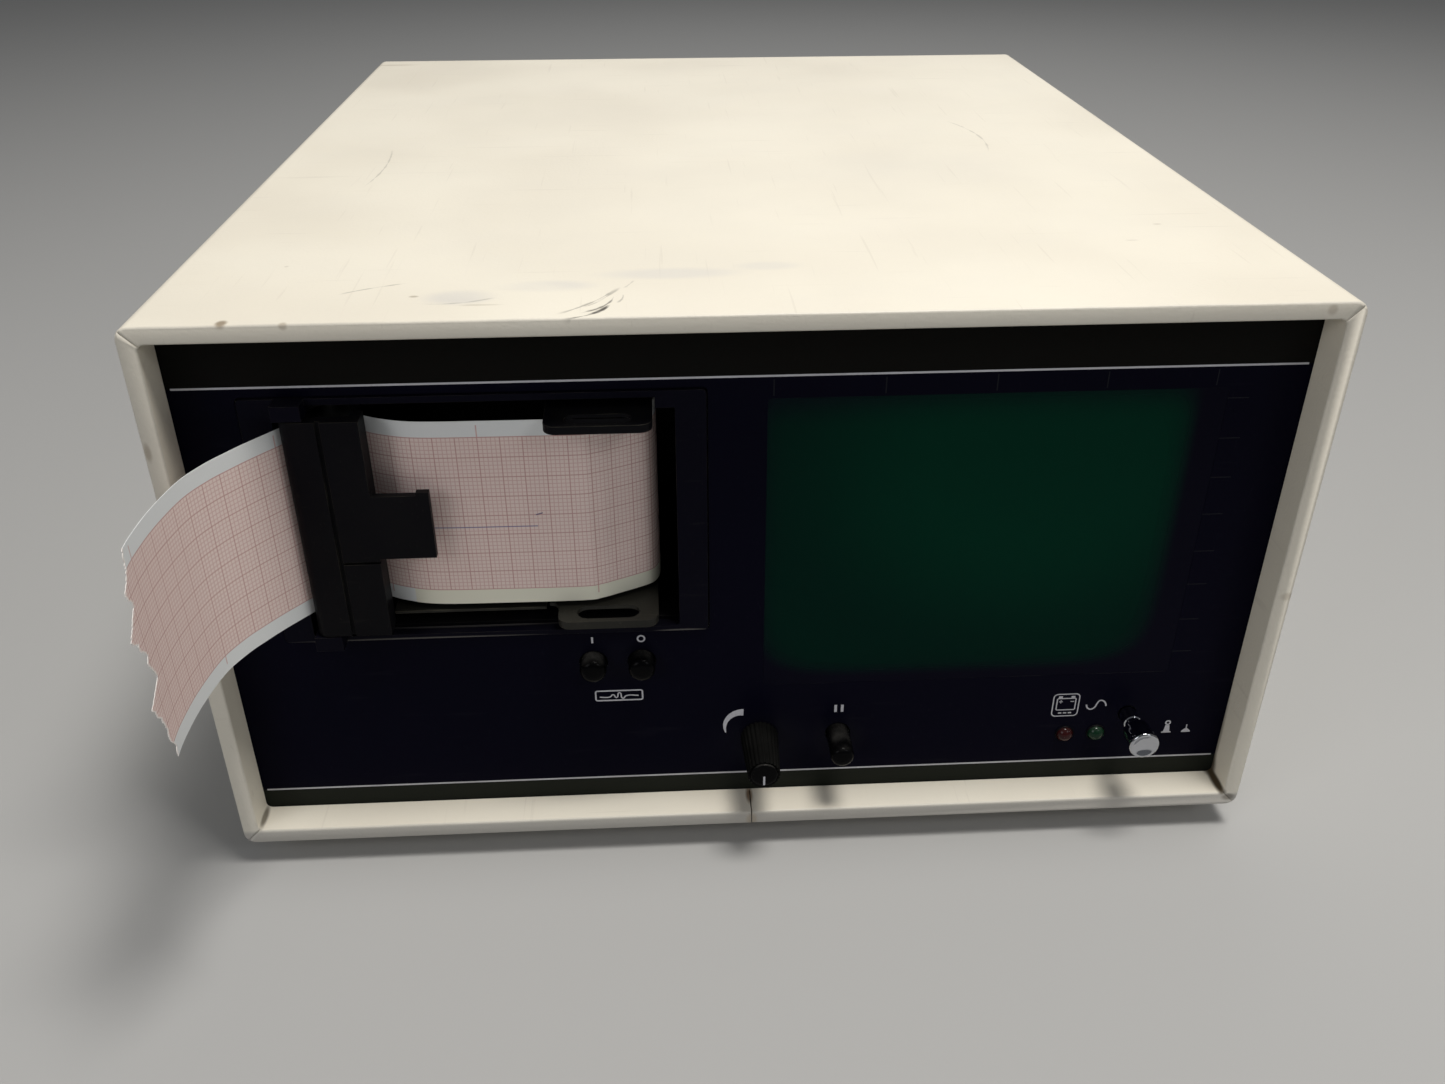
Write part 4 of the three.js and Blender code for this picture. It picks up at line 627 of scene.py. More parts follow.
# %% Rubbed, brown and dirty places of the paint
scuff_grey, scuff_brown, scuff_dark = (0.56, 0.55, 0.54), (0.28, 0.22, 0.15), (0.045, 0.038, 0.028)
mitre_grime_and_shade, top = (0.060, 0.042, 0.020), case_high
for centre, reach, strength in (
    ((-62, 14, top), (10, 6, 3), 0.5), ((-44, 20, top), (13, 5, 3), 0.45), ((-17, 27, top), (20, 5, 3), 0.35),
    ((5, 31, top), (10, 4, 3), 0.25), ((60, 120, top), (40, 30, 3), 0.08),
):
    paint.spot(centre, reach, scuff_grey, strength)
for centre, reach, strength in (
    ((-108.5, 1.2, top), (1.6, 2.2, 1.5), 0.9), ((-96, 0, top - 0.4), (1.2, 1.6, 1.2), 0.5),
    ((-72, 15, top), (1.4, 0.8, 2), 0.6), ((-57, 9, top), (6, 0.7, 2), 0.35),
    ((-122, 291, top), (12, 1.4, 3), 0.4), ((94, 45, top), (2.2, 0.5, 2), 0.6),
    ((104.6, 57.7, top), (1.5, 0.6, 2), 0.5),
    ((-104, 37, top), (0.7, 0.7, 2), 0.7), ((122, 0, top - 1.7), (1.5, 1.2, 1.6), 0.4),
    ((-130, 3, 74), (1.5, 2, 3), 0.5), ((129, 0, 66), (2.5, 1.2, 1.6), 0.35),
    ((-129, 0, 112), (1.0, 1.2, 3), 0.5),
):
    paint.spot(centre, reach, scuff_brown, strength)
print("rubbed and brown places laid")

# %% Scratches, corners and the seam
scratch_spread = 1.3
for centre, radius, width, middle, reach, strength in (
    ((-39.7, 10), 9.9, 0.55, (-33.6, 2.8), (7.5, 6), 1.0),
    ((-39.7, 10.1), 9.6, 0.5, (-31.8, 4.2), (4, 4), 1.0),
    ((-62.6, 31.8), 36.5, 0.5, (-34.5, 9.5), (9, 12), 0.6),
    ((-62.6, 31.8), 37.0, 0.4, (-31, 13.5), (5, 7), 0.4),
    ((-40.8, 13.3), 11.4, 0.45, (-32, 7), (5.5, 7), 0.85),
    ((-44.2, 18), 14.4, 0.35, (-33, 9.6), (4, 5), 0.4),
    ((-35.9, 13), 8.5, 0.45, (-27.7, 11), (2.2, 3), 0.45),
    ((-54.6, 33.3), 31.3, 0.45, (-26.2, 20.3), (2.6, 3), 0.3),
    ((-60, -24), 50.0, 0.35, (-82, 21), (9, 7), 0.45),
    ((-220, 128), 122.6, 0.35, (-97.6, 127), (8, 24), 0.35),
    ((20, 150), 62.5, 0.35, (81.5, 158), (8, 26), 0.35),
    ((-66, 30), 20.0, 0.35, (-60, 11), (12, 3), 0.35),
):
    paint.arc((*centre, 0), radius, width * scratch_spread, (*middle, top), (*reach, 4), scuff_dark, strength)
# Dark brown in the rim's inner corners: grime in the lower mitres, and painted shade down the right inner
# wall where it meets the film.
for centre, reach, strength in (
    ((125.6, 4.6, 4.4), (1.7, 9.5, 1.5), 1.0), ((126.0, 9.4, 5.0), (2.8, 3.4, 7.0), 0.85),
    ((126, 9.4, 14), (1.2, 2.0, 22), 0.6), ((127.4, 0.2, 2.7), (2.4, 1.4, 1.6), 0.6),
    ((-125.6, 5.0, 4.4), (1.2, 6.0, 1.1), 0.8),
):
    paint.spot(centre, reach, mitre_grime_and_shade, strength, breakup=False)
seam_x = 0.5
paint.spot((seam_x - 0.2, 6.6, 3.6), (1.3, 4.4, 2.0), (0.20, 0.12, 0.06), 0.9)
paint.spot((seam_x, 0, 1.4), (2.0, 1.5, 2.8), (0.34, 0.26, 0.16), 0.5)
case_enamel = paint.made(0.5, 0.36, 0.02)
print("case enamel made")

# %% [markdown]
# ## The printed film on the front
# The front is one sheet of dark printed film. Between its two white lines it is a deep blue-black; above
# and below them it is a warmer charcoal. It has a faint sheen, fine grit in its surface and a few rubbed
# places where fingers reach for the controls. The same recipe serves, with the bands chosen by height.

# %% Front film
line_low, line_high = 9.44, 122.2
film = Finish("front_film", 2200.0, 10.0, (40.0, 0.12), (200.0, 0.3), (90.0, 0.1))
film.colour((0.0019, 0.0018, 0.0070), (0.0027, 0.0025, 0.0084), (0.018, 0.018, 0.024), (0.02, 0.02, 0.025))
up = parts_of(film.tree, here(film.tree))["Z"]
film.tint(math_of(film.tree, "LESS_THAN", up, at(0, 0, line_low).z), (0.017, 0.019, 0.015))
film.tint(math_of(film.tree, "GREATER_THAN", up, at(0, 0, line_high).z), (0.0065, 0.0063, 0.0055))
for centre, reach in (
    ((3, 9.6, 20), (16, 3, 12)), ((23.5, 9.6, 20), (9, 3, 9)), ((-32, 9.6, 47), (15, 3, 9)),
):
    film.spot(centre, reach, (0.010, 0.010, 0.014), 0.4)
front_film = film.made(0.34, 0.26, 0.006, specular=0.025)
print("front film made")

# %% [markdown]
# ## Plastics, rubber and metals
# The recorder is moulded in a black plastic whose raised edges are rubbed lighter, and its lower arm, the
# same moulding as the upper one, is painted a lighter olive as painted light where the lamp falls on it.
# Buttons are glossier and blacker. Inside are zinc-plated sheet, turned steel, rubber, varnished windings,
# green boards and grey mouldings. Each call below is one finish from the same recipe: the sizes of its
# effects, its colours in the order of the recipe, then its roughness and the depth of its grain.

# %% Black plastics
def plain(name, sizes, colours, closing, **more):
    """A finish without marks of its own, from the same recipe."""
    return Finish(name, *sizes).colour(*colours).made(*closing, **more)


recorder_moulding = plain(
    "recorder_moulding", (1500.0, 30.0, (55.0, 0.35), (140.0, 0.7), (60.0, 0.12)),
    ((0.0032, 0.0031, 0.0050), (0.0054, 0.0052, 0.0064), (0.02, 0.019, 0.016), (0.045, 0.042, 0.032),
     (0.05, 0.047, 0.037)),
    (0.42, 0.3, 0.01), specular=0.05,
)
bezel_finish_with_highlights = Finish("bezel_moulding", 1500.0, 25.0, (55.0, 0.25), (140.0, 0.6), (60.0, 0.1))
bezel_finish_with_highlights.colour(
    (0.0024, 0.0023, 0.0068), (0.0034, 0.0032, 0.0080), (0.016, 0.016, 0.018), (0.050, 0.047, 0.038),
    (0.04, 0.038, 0.032),
)
# Painted highlights: thin light lines along the bezel's lower edges, where they catch the lamp.
for centre, reach in (
    ((-80, 9.2, 55.9), (36, 1.2, 0.5)), ((-16.5, 9.2, 55.9), (8, 1.2, 0.5)),
    ((-68, 12.0, 57.2), (30, 0.9, 0.6)),
):
    bezel_finish_with_highlights.spot(centre, reach, (0.11, 0.105, 0.10), 0.9, breakup=False)
bezel_moulding = bezel_finish_with_highlights.made(0.4, 0.3, 0.008, specular=0.04)
# A lighter olive than the upper arm's moulding: painted light on the lower arm's lit face; its worn edges are
# real wear.
olive_with_painted_light = plain(
    "olive_with_painted_light", (1500.0, 45.0, (60.0, 0.4), (140.0, 0.7), (60.0, 0.08)),
    ((0.0135, 0.0132, 0.0112), (0.020, 0.0192, 0.0155), (0.045, 0.042, 0.032), (0.07, 0.065, 0.048),
     (0.06, 0.056, 0.045)),
    (0.4, 0.28, 0.01), specular=0.16,
)
knob_moulding = plain(
    "knob_moulding", (1800.0, 60.0, (80.0, 0.3), (220.0, 0.6), (90.0, 0.3)),
    ((0.0022, 0.0023, 0.0023), (0.0036, 0.0036, 0.0034), (0.011, 0.011, 0.010), (0.016, 0.016, 0.014),
     (0.02, 0.02, 0.018)),
    (0.46, 0.34, 0.01), specular=0.06,
)
button_moulding = plain(
    "button_moulding", (1200.0, 50.0, (90.0, 0.2), (220.0, 0.3), (90.0, 0.1)),
    ((0.0014, 0.0014, 0.0018), (0.0022, 0.0022, 0.0025), (0.006, 0.006, 0.006), (0.008, 0.008, 0.0075)),
    (0.20, 0.12, 0.003), specular=0.04,
)
black_moulding = plain(
    "black_moulding", (1400.0, 40.0, (60.0, 0.3), (160.0, 0.5), (70.0, 0.4)),
    ((0.017, 0.017, 0.018), (0.026, 0.026, 0.027), (0.06, 0.06, 0.06), (0.08, 0.08, 0.078)),
    (0.42, 0.32, 0.012),
)
print("black plastics made")

# %% Grey and white plastics, and rubber
grey_moulding = plain(
    "grey_moulding", (1300.0, 35.0, (50.0, 0.3), (150.0, 0.4), (60.0, 0.3)),
    ((0.13, 0.13, 0.14), (0.17, 0.17, 0.18), (0.24, 0.24, 0.25), (0.28, 0.28, 0.28)),
    (0.55, 0.42, 0.015),
)
white_nylon = plain(
    "white_nylon", (1100.0, 30.0, (60.0, 0.2), (150.0, 0.3), (60.0, 0.2)),
    ((0.72, 0.71, 0.66), (0.66, 0.64, 0.57), (0.5, 0.48, 0.42), (0.62, 0.6, 0.54), (0.45, 0.43, 0.38)),
    (0.45, 0.35, 0.008),
)
foot_rubber = plain(
    "foot_rubber", (900.0, 60.0, (70.0, 0.3), (150.0, 0.6), (80.0, 0.5)),
    ((0.022, 0.022, 0.023), (0.034, 0.034, 0.034), (0.07, 0.07, 0.068), (0.085, 0.083, 0.08)),
    (0.85, 0.7, 0.03),
)
platen_rubber = plain(
    "platen_rubber", (2400.0, 80.0, (60.0, 0.2), (200.0, 0.4), (80.0, 0.2)),
    ((0.035, 0.036, 0.040), (0.05, 0.051, 0.055), (0.08, 0.08, 0.085), (0.09, 0.09, 0.09)),
    (0.75, 0.62, 0.012),
)
print("grey and white plastics and rubber made")

# %% Metals
zinc_plate = plain(
    "zinc_plate", (500.0, 45.0, (50.0, 0.5), (160.0, 0.5), (60.0, 0.3)),
    ((0.55, 0.55, 0.51), (0.44, 0.45, 0.43), (0.66, 0.66, 0.63), (0.7, 0.7, 0.67)),
    (0.5, 0.32, 0.01), metallic=0.85,
)
turned_steel = plain(
    "turned_steel", (2600.0, 40.0, (120.0, 0.4), (200.0, 0.4), (80.0, 0.1)),
    ((0.62, 0.63, 0.64), (0.54, 0.55, 0.56), (0.75, 0.75, 0.75), (0.8, 0.8, 0.8)),
    (0.32, 0.2, 0.004), metallic=1.0,
)
core_steel = plain(
    "core_steel", (700.0, 50.0, (50.0, 0.4), (150.0, 0.6), (60.0, 0.3)),
    ((0.24, 0.25, 0.26), (0.17, 0.175, 0.18), (0.4, 0.4, 0.41), (0.48, 0.48, 0.48)),
    (0.5, 0.36, 0.015), metallic=0.9,
)
satin_nickel = plain(
    "satin_nickel", (1600.0, 60.0, (90.0, 0.4), (180.0, 0.5), (80.0, 0.2)),
    ((0.20, 0.20, 0.19), (0.15, 0.15, 0.145), (0.3, 0.3, 0.28), (0.42, 0.41, 0.39)),
    (0.34, 0.22, 0.005), metallic=1.0,
)
polished_cap = plain(
    "polished_cap", (2200.0, 90.0, (140.0, 0.25), (240.0, 0.25), (90.0, 0.06)),
    ((0.52, 0.53, 0.56), (0.46, 0.47, 0.50), (0.40, 0.40, 0.41), (0.5, 0.49, 0.45)),
    (0.10, 0.05, 0.0015), metallic=1.0,
)
print("metals made")

# %% Boards and windings
circuit_board = plain(
    "circuit_board", (900.0, 60.0, (60.0, 0.2), (160.0, 0.3), (60.0, 0.4)),
    ((0.035, 0.115, 0.05), (0.05, 0.15, 0.065), (0.1, 0.2, 0.11), (0.3, 0.3, 0.2)),
    (0.42, 0.3, 0.01), coat=0.3,
)
varnished_winding = plain(
    "varnished_winding", (2000.0, 70.0, (160.0, 0.7), (160.0, 0.3), (60.0, 0.2)),
    ((0.36, 0.13, 0.05), (0.26, 0.09, 0.035), (0.5, 0.24, 0.1), (0.5, 0.25, 0.12)),
    (0.4, 0.25, 0.03), coat=0.4,
)
print("materials so far:", len(bpy.data.materials))

# %% [markdown]
# ## Glass, lenses and white print
# The window is a dark green filter and mostly opaque; the pale green phosphor of the tube behind it is
# painted into the filter's own colour, which also lets a little of it show through, gone at the tube's bowed
# right and lower edges, with painted light right of the middle and a little above it and painted shade
# towards the top edge. The tube's phosphor has a brighter patch of painted light too. The lenses of the two
# lamps are unlit and deep in colour. The print on the film is a slightly uneven white ink.

# %% Green filter
sieve = Finish("green_filter", 1500.0, 12.0, (40.0, 0.1), (200.0, 0.2), (90.0, 0.05))
sieve.colour((0.0024, 0.0023, 0.0074), (0.0033, 0.0031, 0.0090), (0.010, 0.012, 0.014), (0.015, 0.018, 0.02))
tree = sieve.tree
where = parts_of(tree, here(tree))
seen_phosphor_x, seen_phosphor_z, seen_phosphor_wide, seen_phosphor_high = 51.5, 77.0, 50.0, 36.4
off_side = math_of(tree, "SUBTRACT", where["X"], at(seen_phosphor_x, 0, 0).x)
off_low = math_of(tree, "SUBTRACT", at(0, 0, seen_phosphor_z).z, where["Z"])
side_share = math_of(tree, "ABSOLUTE", math_of(tree, "DIVIDE", off_side, seen_phosphor_wide * MM))
low_share = math_of(tree, "DIVIDE", off_low, seen_phosphor_high * MM)
bow = [math_of(tree, "POWER", math_of(tree, "MAXIMUM", share, 0.0), 6.0) for share in (side_share, low_share)]
window_top = box_mm("screen_window")[1][2]
fade_from, fade_to = (at(0, 0, window_top + step).z for step in (-8.5, 1.5))
# Painted shade: the phosphor's patch dims towards the window's top edge.
painted_top_shade = ramp(tree, where["Z"], fade_from, fade_to, 1.0, 0.25)
seen_phosphor_with_shade = times(tree, ramp(tree, math_of(tree, "ADD", *bow), 0.40, 1.24, 1.0, 0.0), painted_top_shade)
sieve.tint(seen_phosphor_with_shade, (0.0007, 0.0175, 0.0115))
# Painted light: a brighter patch right of the middle and a little above it.
painted_light_patch = placed_group(tree, "soft_spot", Centre=tuple(at(66, 9.6, 99)), Reach=(0.066, 0.03, 0.056))[0]
sieve.tint(times(tree, painted_light_patch, seen_phosphor_with_shade, 0.95), (0.0006, 0.0330, 0.0175))
green_filter = sieve.made(0.34, 0.26, 0.006, specular=0.03)
tree.links.new(ramp(tree, seen_phosphor_with_shade, 0.0, 1.0, 1.0, 0.88), sieve.shader.inputs["Alpha"])
print("green filter made")

# %% Phosphor of the tube
tube_low, tube_high = box_mm("crt_tube")
tube_middle, unlit_rim = middle_of("crt_tube"), 3.2
phosphor = Finish("tube_phosphor", 1800.0, 16.0, (40.0, 0.05), (90.0, 0.1), (60.0, 0.0))
phosphor.colour((0.020, 0.30, 0.16), (0.024, 0.33, 0.18), (0.04, 0.4, 0.2), (0.04, 0.4, 0.2))
# Painted light: a broad brighter green patch on the unlit phosphor.
phosphor.spot((60, tube_low[1], 84), (66, 40, 50), (0.026, 0.42, 0.23), 0.9, breakup=False)
tree = phosphor.tree
where = parts_of(tree, here(tree))
sides = []
for axis, number in (("X", 0), ("Z", 2)):
    half = (tube_high[number] - tube_low[number]) / 2 - unlit_rim
    away = math_of(tree, "SUBTRACT", where[axis], at(*tube_middle)[number])
    share = math_of(tree, "ABSOLUTE", math_of(tree, "DIVIDE", away, half * MM))
    sides.append(math_of(tree, "POWER", share, 7.0))
phosphor.tint(ramp(tree, math_of(tree, "ADD", *sides), 0.72, 1.05), (0.004, 0.006, 0.008))
tube_phosphor = phosphor.made(0.16, 0.1, 0.0005)
print("phosphor made")

# %% Lenses and inks
def lens(name, deep, pale):
    """An unlit tinted lens, paler where it drifts and where it is scratched or worn."""
    sizes = (900.0, 250.0, (150.0, 0.1), (200.0, 0.3), (90.0, 0.05))
    return plain(name, sizes, (deep, pale, pale, pale), (0.12, 0.06, 0.002), specular=0.16, coat=0.08)


red_lens = lens("red_lens", (0.022, 0.0030, 0.0035), (0.034, 0.005, 0.005))
green_lens = lens("green_lens", (0.0035, 0.022, 0.010), (0.005, 0.034, 0.014))
white_ink = plain(
    "white_ink", (2500.0, 90.0, (70.0, 0.3), (200.0, 0.0), (90.0, 0.0)),
    ((0.56, 0.56, 0.60), (0.48, 0.48, 0.52), (0.2, 0.2, 0.22), (0.4, 0.4, 0.4)),
    (0.6, 0.5, 0.004),
)
faint_ink = plain(
    "faint_ink", (2500.0, 90.0, (70.0, 0.5), (200.0, 0.0), (90.0, 0.0)),
    ((0.0048, 0.0054, 0.0098), (0.0032, 0.0036, 0.0084), (0.004, 0.004, 0.008), (0.02, 0.02, 0.02)),
    (0.6, 0.5, 0.004), specular=0.15,
)
print("lenses and inks made")

# %% [markdown]
# ## The way of the paper
# The paper leaves the side of a nearly used roll, turns into the opening and runs flat across it, dives in
# front of the print head, wraps round its nose and comes out on the left as a strip that curls down and
# forward. The route is one smooth line seen from above, through a few turning points, and everything about
# the sheet follows from the distance along it.

# %% Route of the paper, seen from above
bezel_low, bezel_high = box_mm("recorder_bezel")
recorder_x = (bezel_low[0] + bezel_high[0]) / 2
panel_y = box_mm("front_overlay")[0][1]
nose_x, nose_y, wrap_radius = recorder_x - 32.7, panel_y + 2.1, 6.0
wrap_from, wrap_to = math.radians(63), math.radians(143)
line_steps, wrap_steps = 24, 40


def smooth_line(points):
    """A smooth line through points, where each turn looks at its neighbours on both sides."""
    spots = [np.array(point, float) for point in (points[0], *points, points[-1])]
    line = []
    for before, start, end, after in zip(spots, spots[1:], spots[2:], spots[3:]):
        for step in range(line_steps):
            share = step / line_steps
            lean_in, lean_out = (end - before) / 2, (after - start) / 2
            line.append(
                (2 * share**3 - 3 * share**2 + 1) * start + (share**3 - 2 * share**2 + share) * lean_in
                + (3 * share**2 - 2 * share**3) * end + (share**3 - share**2) * lean_out
            )
    return line + [spots[-1]]


def on_nose(turn):
    """A point where the paper wraps round the print head's nose."""
    return (nose_x + wrap_radius * math.cos(turn), nose_y + wrap_radius * math.sin(turn))


roll_low, roll_high = box_mm("paper_roll")
roll_x, roll_y, _ = middle_of("paper_roll")
roll_radius = (roll_high[0] - roll_low[0]) / 2
web_start = (roll_x + roll_radius + 0.4, roll_y)
web_end = on_nose(wrap_from)
web = [web_start] + [(web_start[0], panel_y + back) for back in (20, 14)]
for along, back in (
    (39.3, 10.4), (37.9, 7.5), (34.8, 5.5), (29.7, 3), (25.6, 1.1), (21.2, 0.2), (4, 0.2), (-13, 0.6),
    (-21.2, 2.6), (-26.9, 5.5),
):
    web.append((recorder_x + along, panel_y + back))
web.append(web_end)
wrap_turn = (wrap_to - wrap_from) / wrap_steps
wrap = [on_nose(wrap_from + wrap_turn * step) for step in range(1, wrap_steps)]
print(len(web), "turning points, then", len(wrap), "on the nose")

# %% The strip outside, and the whole length
exit_x, exit_y = on_nose(wrap_to)
mouth_x, mouth_y = exit_x - 5.71, exit_y - 7.58
strip_out, strip_drift = 58, 15.6
strip = [(exit_x, exit_y), (mouth_x, mouth_y)]
for out_share, drift_share in (
    (0.1, 0.28), (0.18, 0.48), (0.27, 0.68), (0.4, 0.87), (0.6, 0.98), (0.78, 1), (0.9, 0.97), (1, 0.95),
):
    strip.append((mouth_x - strip_drift * drift_share, mouth_y - strip_out * out_share))
route = np.array([*smooth_line(web)[:-1], web_end, *wrap, *smooth_line(strip)])
run = np.concatenate([[0], np.cumsum(np.linalg.norm(np.diff(route, axis=0), axis=1))])
paper_long = run[-1]


def run_at(x):
    """How far along the paper the flat part passes this x."""
    behind = (route[:, 0] > web_end[0]) & (route[:, 1] < panel_y + 7)
    return float(np.interp(-x, -route[behind, 0], run[behind]))


tick_run = run_at(recorder_x - 0.2)
print(f"the paper shows {paper_long:.1f} mm of its length, with a tick at {tick_run:.1f} mm")

# %% [markdown]
# ## Paper
# The chart paper is ruled in pale red: millimetre lines and stronger five-millimetre lines over 40 mm, with
# a bare margin on each side and a tick every 25 mm, on the two margins by turns. Its pattern must follow
# the sheet round its bends, so it reads the sheet's own UV map, laid out in metres before the sheet was
# bent. The torn end is paler, by an attribute that holds the distance to the tear. The roll shows its
# windings as fine rings on its ends.

# %% Chart paper and its ruling
paper_wide, margin, window_left = 48.0, 4.0, -80.0
chart = Finish("chart_print", 2600.0, 20.0, (40.0, 0.0), (90.0, 0.0), (60.0, 0.0))
chart.colour((0.79, 0.66, 0.615), (0.77, 0.63, 0.585), (0.8, 0.7, 0.68), (0.9, 0.88, 0.86))
tree = chart.tree
uv = parts_of(tree, node(tree, "TexCoord").outputs["UV"])
along, across = times(tree, uv["X"], 1000.0), times(tree, uv["Y"], 1000.0)


def ruled(line, pitch, width, start):
    """Where lines of one pitch cover the paper, along or across it, in millimetres."""
    return placed_group(tree, "ruled_lines", Along=line, Pitch=pitch, Width=width, Start=start)[0]


def both(*masks):
    """Where all of these masks hold; a number among them is a strength."""
    return times(tree, *masks)


for pitch, width, strength, colour in (
    (1.0, 0.17, 0.8, (0.60, 0.36, 0.34)), (5.0, 0.26, 0.62, (0.48, 0.25, 0.23)),
):
    lines = [ruled(line, pitch, width, start) for line, start in ((along, tick_run), (across, margin))]
    chart.tint(both(math_of(tree, "MAXIMUM", *lines), strength), colour)
margin_end = margin - 0.12
from_side = math_of(tree, "MINIMUM", across, math_of(tree, "SUBTRACT", paper_wide, across))
chart.tint(math_of(tree, "LESS_THAN", from_side, margin_end), (0.73, 0.75, 0.75))
in_window = math_of(tree, "LESS_THAN", along, run_at(window_left))
chart.tint(both(math_of(tree, "LESS_THAN", across, margin_end), in_window), (0.75, 0.74, 0.62))
print("ruling made")

# %% Ticks, trace and torn edge
tick_gap, tick_wide = 25.0, 0.28
upper_tick = ruled(along, 2 * tick_gap, tick_wide, tick_run)
lower_tick = ruled(along, 2 * tick_gap, tick_wide, tick_run - tick_gap)
upper_side = both(math_of(tree, "GREATER_THAN", across, paper_wide - margin),
                  math_of(tree, "LESS_THAN", across, paper_wide - 1.0))
lower_side = both(math_of(tree, "LESS_THAN", across, margin), math_of(tree, "GREATER_THAN", across, 1.8))
ticks = math_of(tree, "MAXIMUM", both(upper_tick, upper_side), both(lower_tick, lower_side))
chart.tint(both(ticks, 0.75), (0.55, 0.28, 0.26))
trace_end, trace_height = -49.3, 21.0
dash_x, dash_middle, dash_slope, dash_half = -48.8, 24.2, 0.28, 0.8
traced = both(math_of(tree, "GREATER_THAN", along, run_at(trace_end)), in_window)
off_trace = apart(tree, across, trace_height)
chart.tint(both(traced, ramp(tree, off_trace, 0.06, 0.2, 1.0, 0.0), 0.8), (0.10, 0.10, 0.26))
dash_run = math_of(tree, "SUBTRACT", run_at(dash_x), along)
dash_height = math_of(tree, "ADD", times(tree, dash_run, dash_slope), dash_middle)
off_dash = apart(tree, across, dash_height)
in_dash = math_of(tree, "LESS_THAN", math_of(tree, "ABSOLUTE", dash_run), dash_half)
chart.tint(both(in_dash, ramp(tree, off_dash, 0.08, 0.22, 1.0, 0.0), 0.9), (0.07, 0.07, 0.16))
torn = node(tree, "Attribute", attribute_name="from_tear").outputs["Fac"]
fibre = math_of(tree, "ADD", torn, times(tree, chart.grain, 0.5))
chart.tint(ramp(tree, fibre, 0.35, 0.9, 1.0, 0.0), (0.84, 0.80, 0.76))
chart_print = chart.made(0.72, 0.62, 0.006, specular=0.3)
print("chart paper made")

# %% Paper roll and its rings
rolled = Finish("roll_paper", 1800.0, 30.0, (60.0, 0.1), (120.0, 0.4), (60.0, 0.1))
rolled.colour((0.80, 0.77, 0.70), (0.76, 0.72, 0.64), (0.68, 0.63, 0.55), (0.7, 0.66, 0.58), (0.6, 0.57, 0.5))
tree = rolled.tree
away = vectors(tree, "SUBTRACT", here(tree), at(*middle_of("paper_roll")))
radius = length_of(tree, vectors(tree, "MULTIPLY", away, (1, 1, 0)))
rings = node(
    tree, "TexNoise", ("W", times(tree, radius, 1000.0)), ("Scale", 3.2), ("Detail", 4.0),
    noise_dimensions="1D",
).outputs[0]
rolled.tint(ramp(tree, rings, 0.35, 0.75, 0.0, 0.45), (0.55, 0.49, 0.40))
roll_paper = rolled.made(0.85, 0.75, 0.02, specular=0.3)
print("roll paper made")

# %% [markdown]
# ## A first coat for every engineering node
# Most of the inner parts are right as they stand, and only need their finish. The record says which slot
# each node takes its finish from, so one table from slot to material dresses them all, hidden ones too. The
# pieces modelled further down then replace the ones whose form shows.

# %% From slot to material
finishes = {
    "case_paint": case_enamel, "panel_print": front_film, "plated_steel": zinc_plate,
    "green_window": green_filter, "tube_glass": tube_phosphor, "foot_rubber": foot_rubber,
    "platen_rubber": platen_rubber, "bright_steel": turned_steel, "winding": varnished_winding,
    "board": circuit_board, "core_steel": core_steel, "grey_plastic": grey_moulding,
    "black_plastic": black_moulding, "knob_plastic": knob_moulding, "recorder_plastic": recorder_moulding,
    "connector_metal": satin_nickel, "chrome_cap": polished_cap, "red_lens": red_lens,
    "green_lens": green_lens, "core_plastic": white_nylon, "chart_print": chart_print,
    "roll_paper": roll_paper,
}
slot_of = {part["node"]: part["material_slot"] for part in frame["record"]["subparts"]}
for name, cad_node in nodes.items():
    cad_node.data.materials.clear()
    cad_node.data.materials.append(finishes[slot_of[name]])
print(len(nodes), "nodes dressed with", len(finishes), "finishes")

# %% [markdown]
# ## The case sleeve
# The real sleeve is a steel sheet folded round the works, with a rim folded inwards at each end. It could
# be bent from a sheet and thickened, but a block with rounded long edges, hollowed by two more blocks,
# gives the same walls and rims with fewer steps. The rim's corners are then mitred and its foot slit with
# thin blades.

# %% Case sleeve
wall, rim_face, rim_deep, rear_rim_deep, overrun = 1.5, 4.0, 9.4, 6.0, 5.0
bend, bend_steps = 3.0, 6


def tunnel(name, inset, start, end, radius):
    """A block along the case, inset from its outside, with its four long edges rounded."""
    piece = block(name, (-half_wide + inset, start, inset), (half_wide - inset, end, case_high - inset))
    edit(piece, lambda middle, run: abs(run.y) > 0.9, "EDGE")
    bpy.ops.mesh.bevel(offset=radius * MM, segments=bend_steps, affect="EDGES")
    done()
    return piece


shell = tunnel("case_shell", 0.0, 0.0, case_deep, bend)
cut(
    shell,
    tunnel("hollow", wall, rim_deep, case_deep - rear_rim_deep, bend / 2),
    tunnel("mouth", rim_face, -overrun, case_deep + overrun, bend / 2),
)
foot_places = {}
for corner in ("front_left", "front_right", "rear_left", "rear_right"):
    foot_places[corner] = tuple(middle_of("foot_" + corner)[:2])
    cut(shell, rod("screw_hole", (*foot_places[corner], 0), 2.3, 8, "Z", 24))
softened(shell, 0.55, angle=50, segments=3)
print("sleeve folded, with", len(foot_places), "screw holes")

# %% Mitre lines and the seam of the lower rim
def blade(name, middle, size, turn=0.0):
    """A thin cutting plate, turned in the plane of the front."""
    fresh()
    bpy.ops.mesh.primitive_cube_add(
        size=1, location=at(*middle), scale=[side * MM for side in size], rotation=(0, turn, 0)
    )
    return new_piece(name)


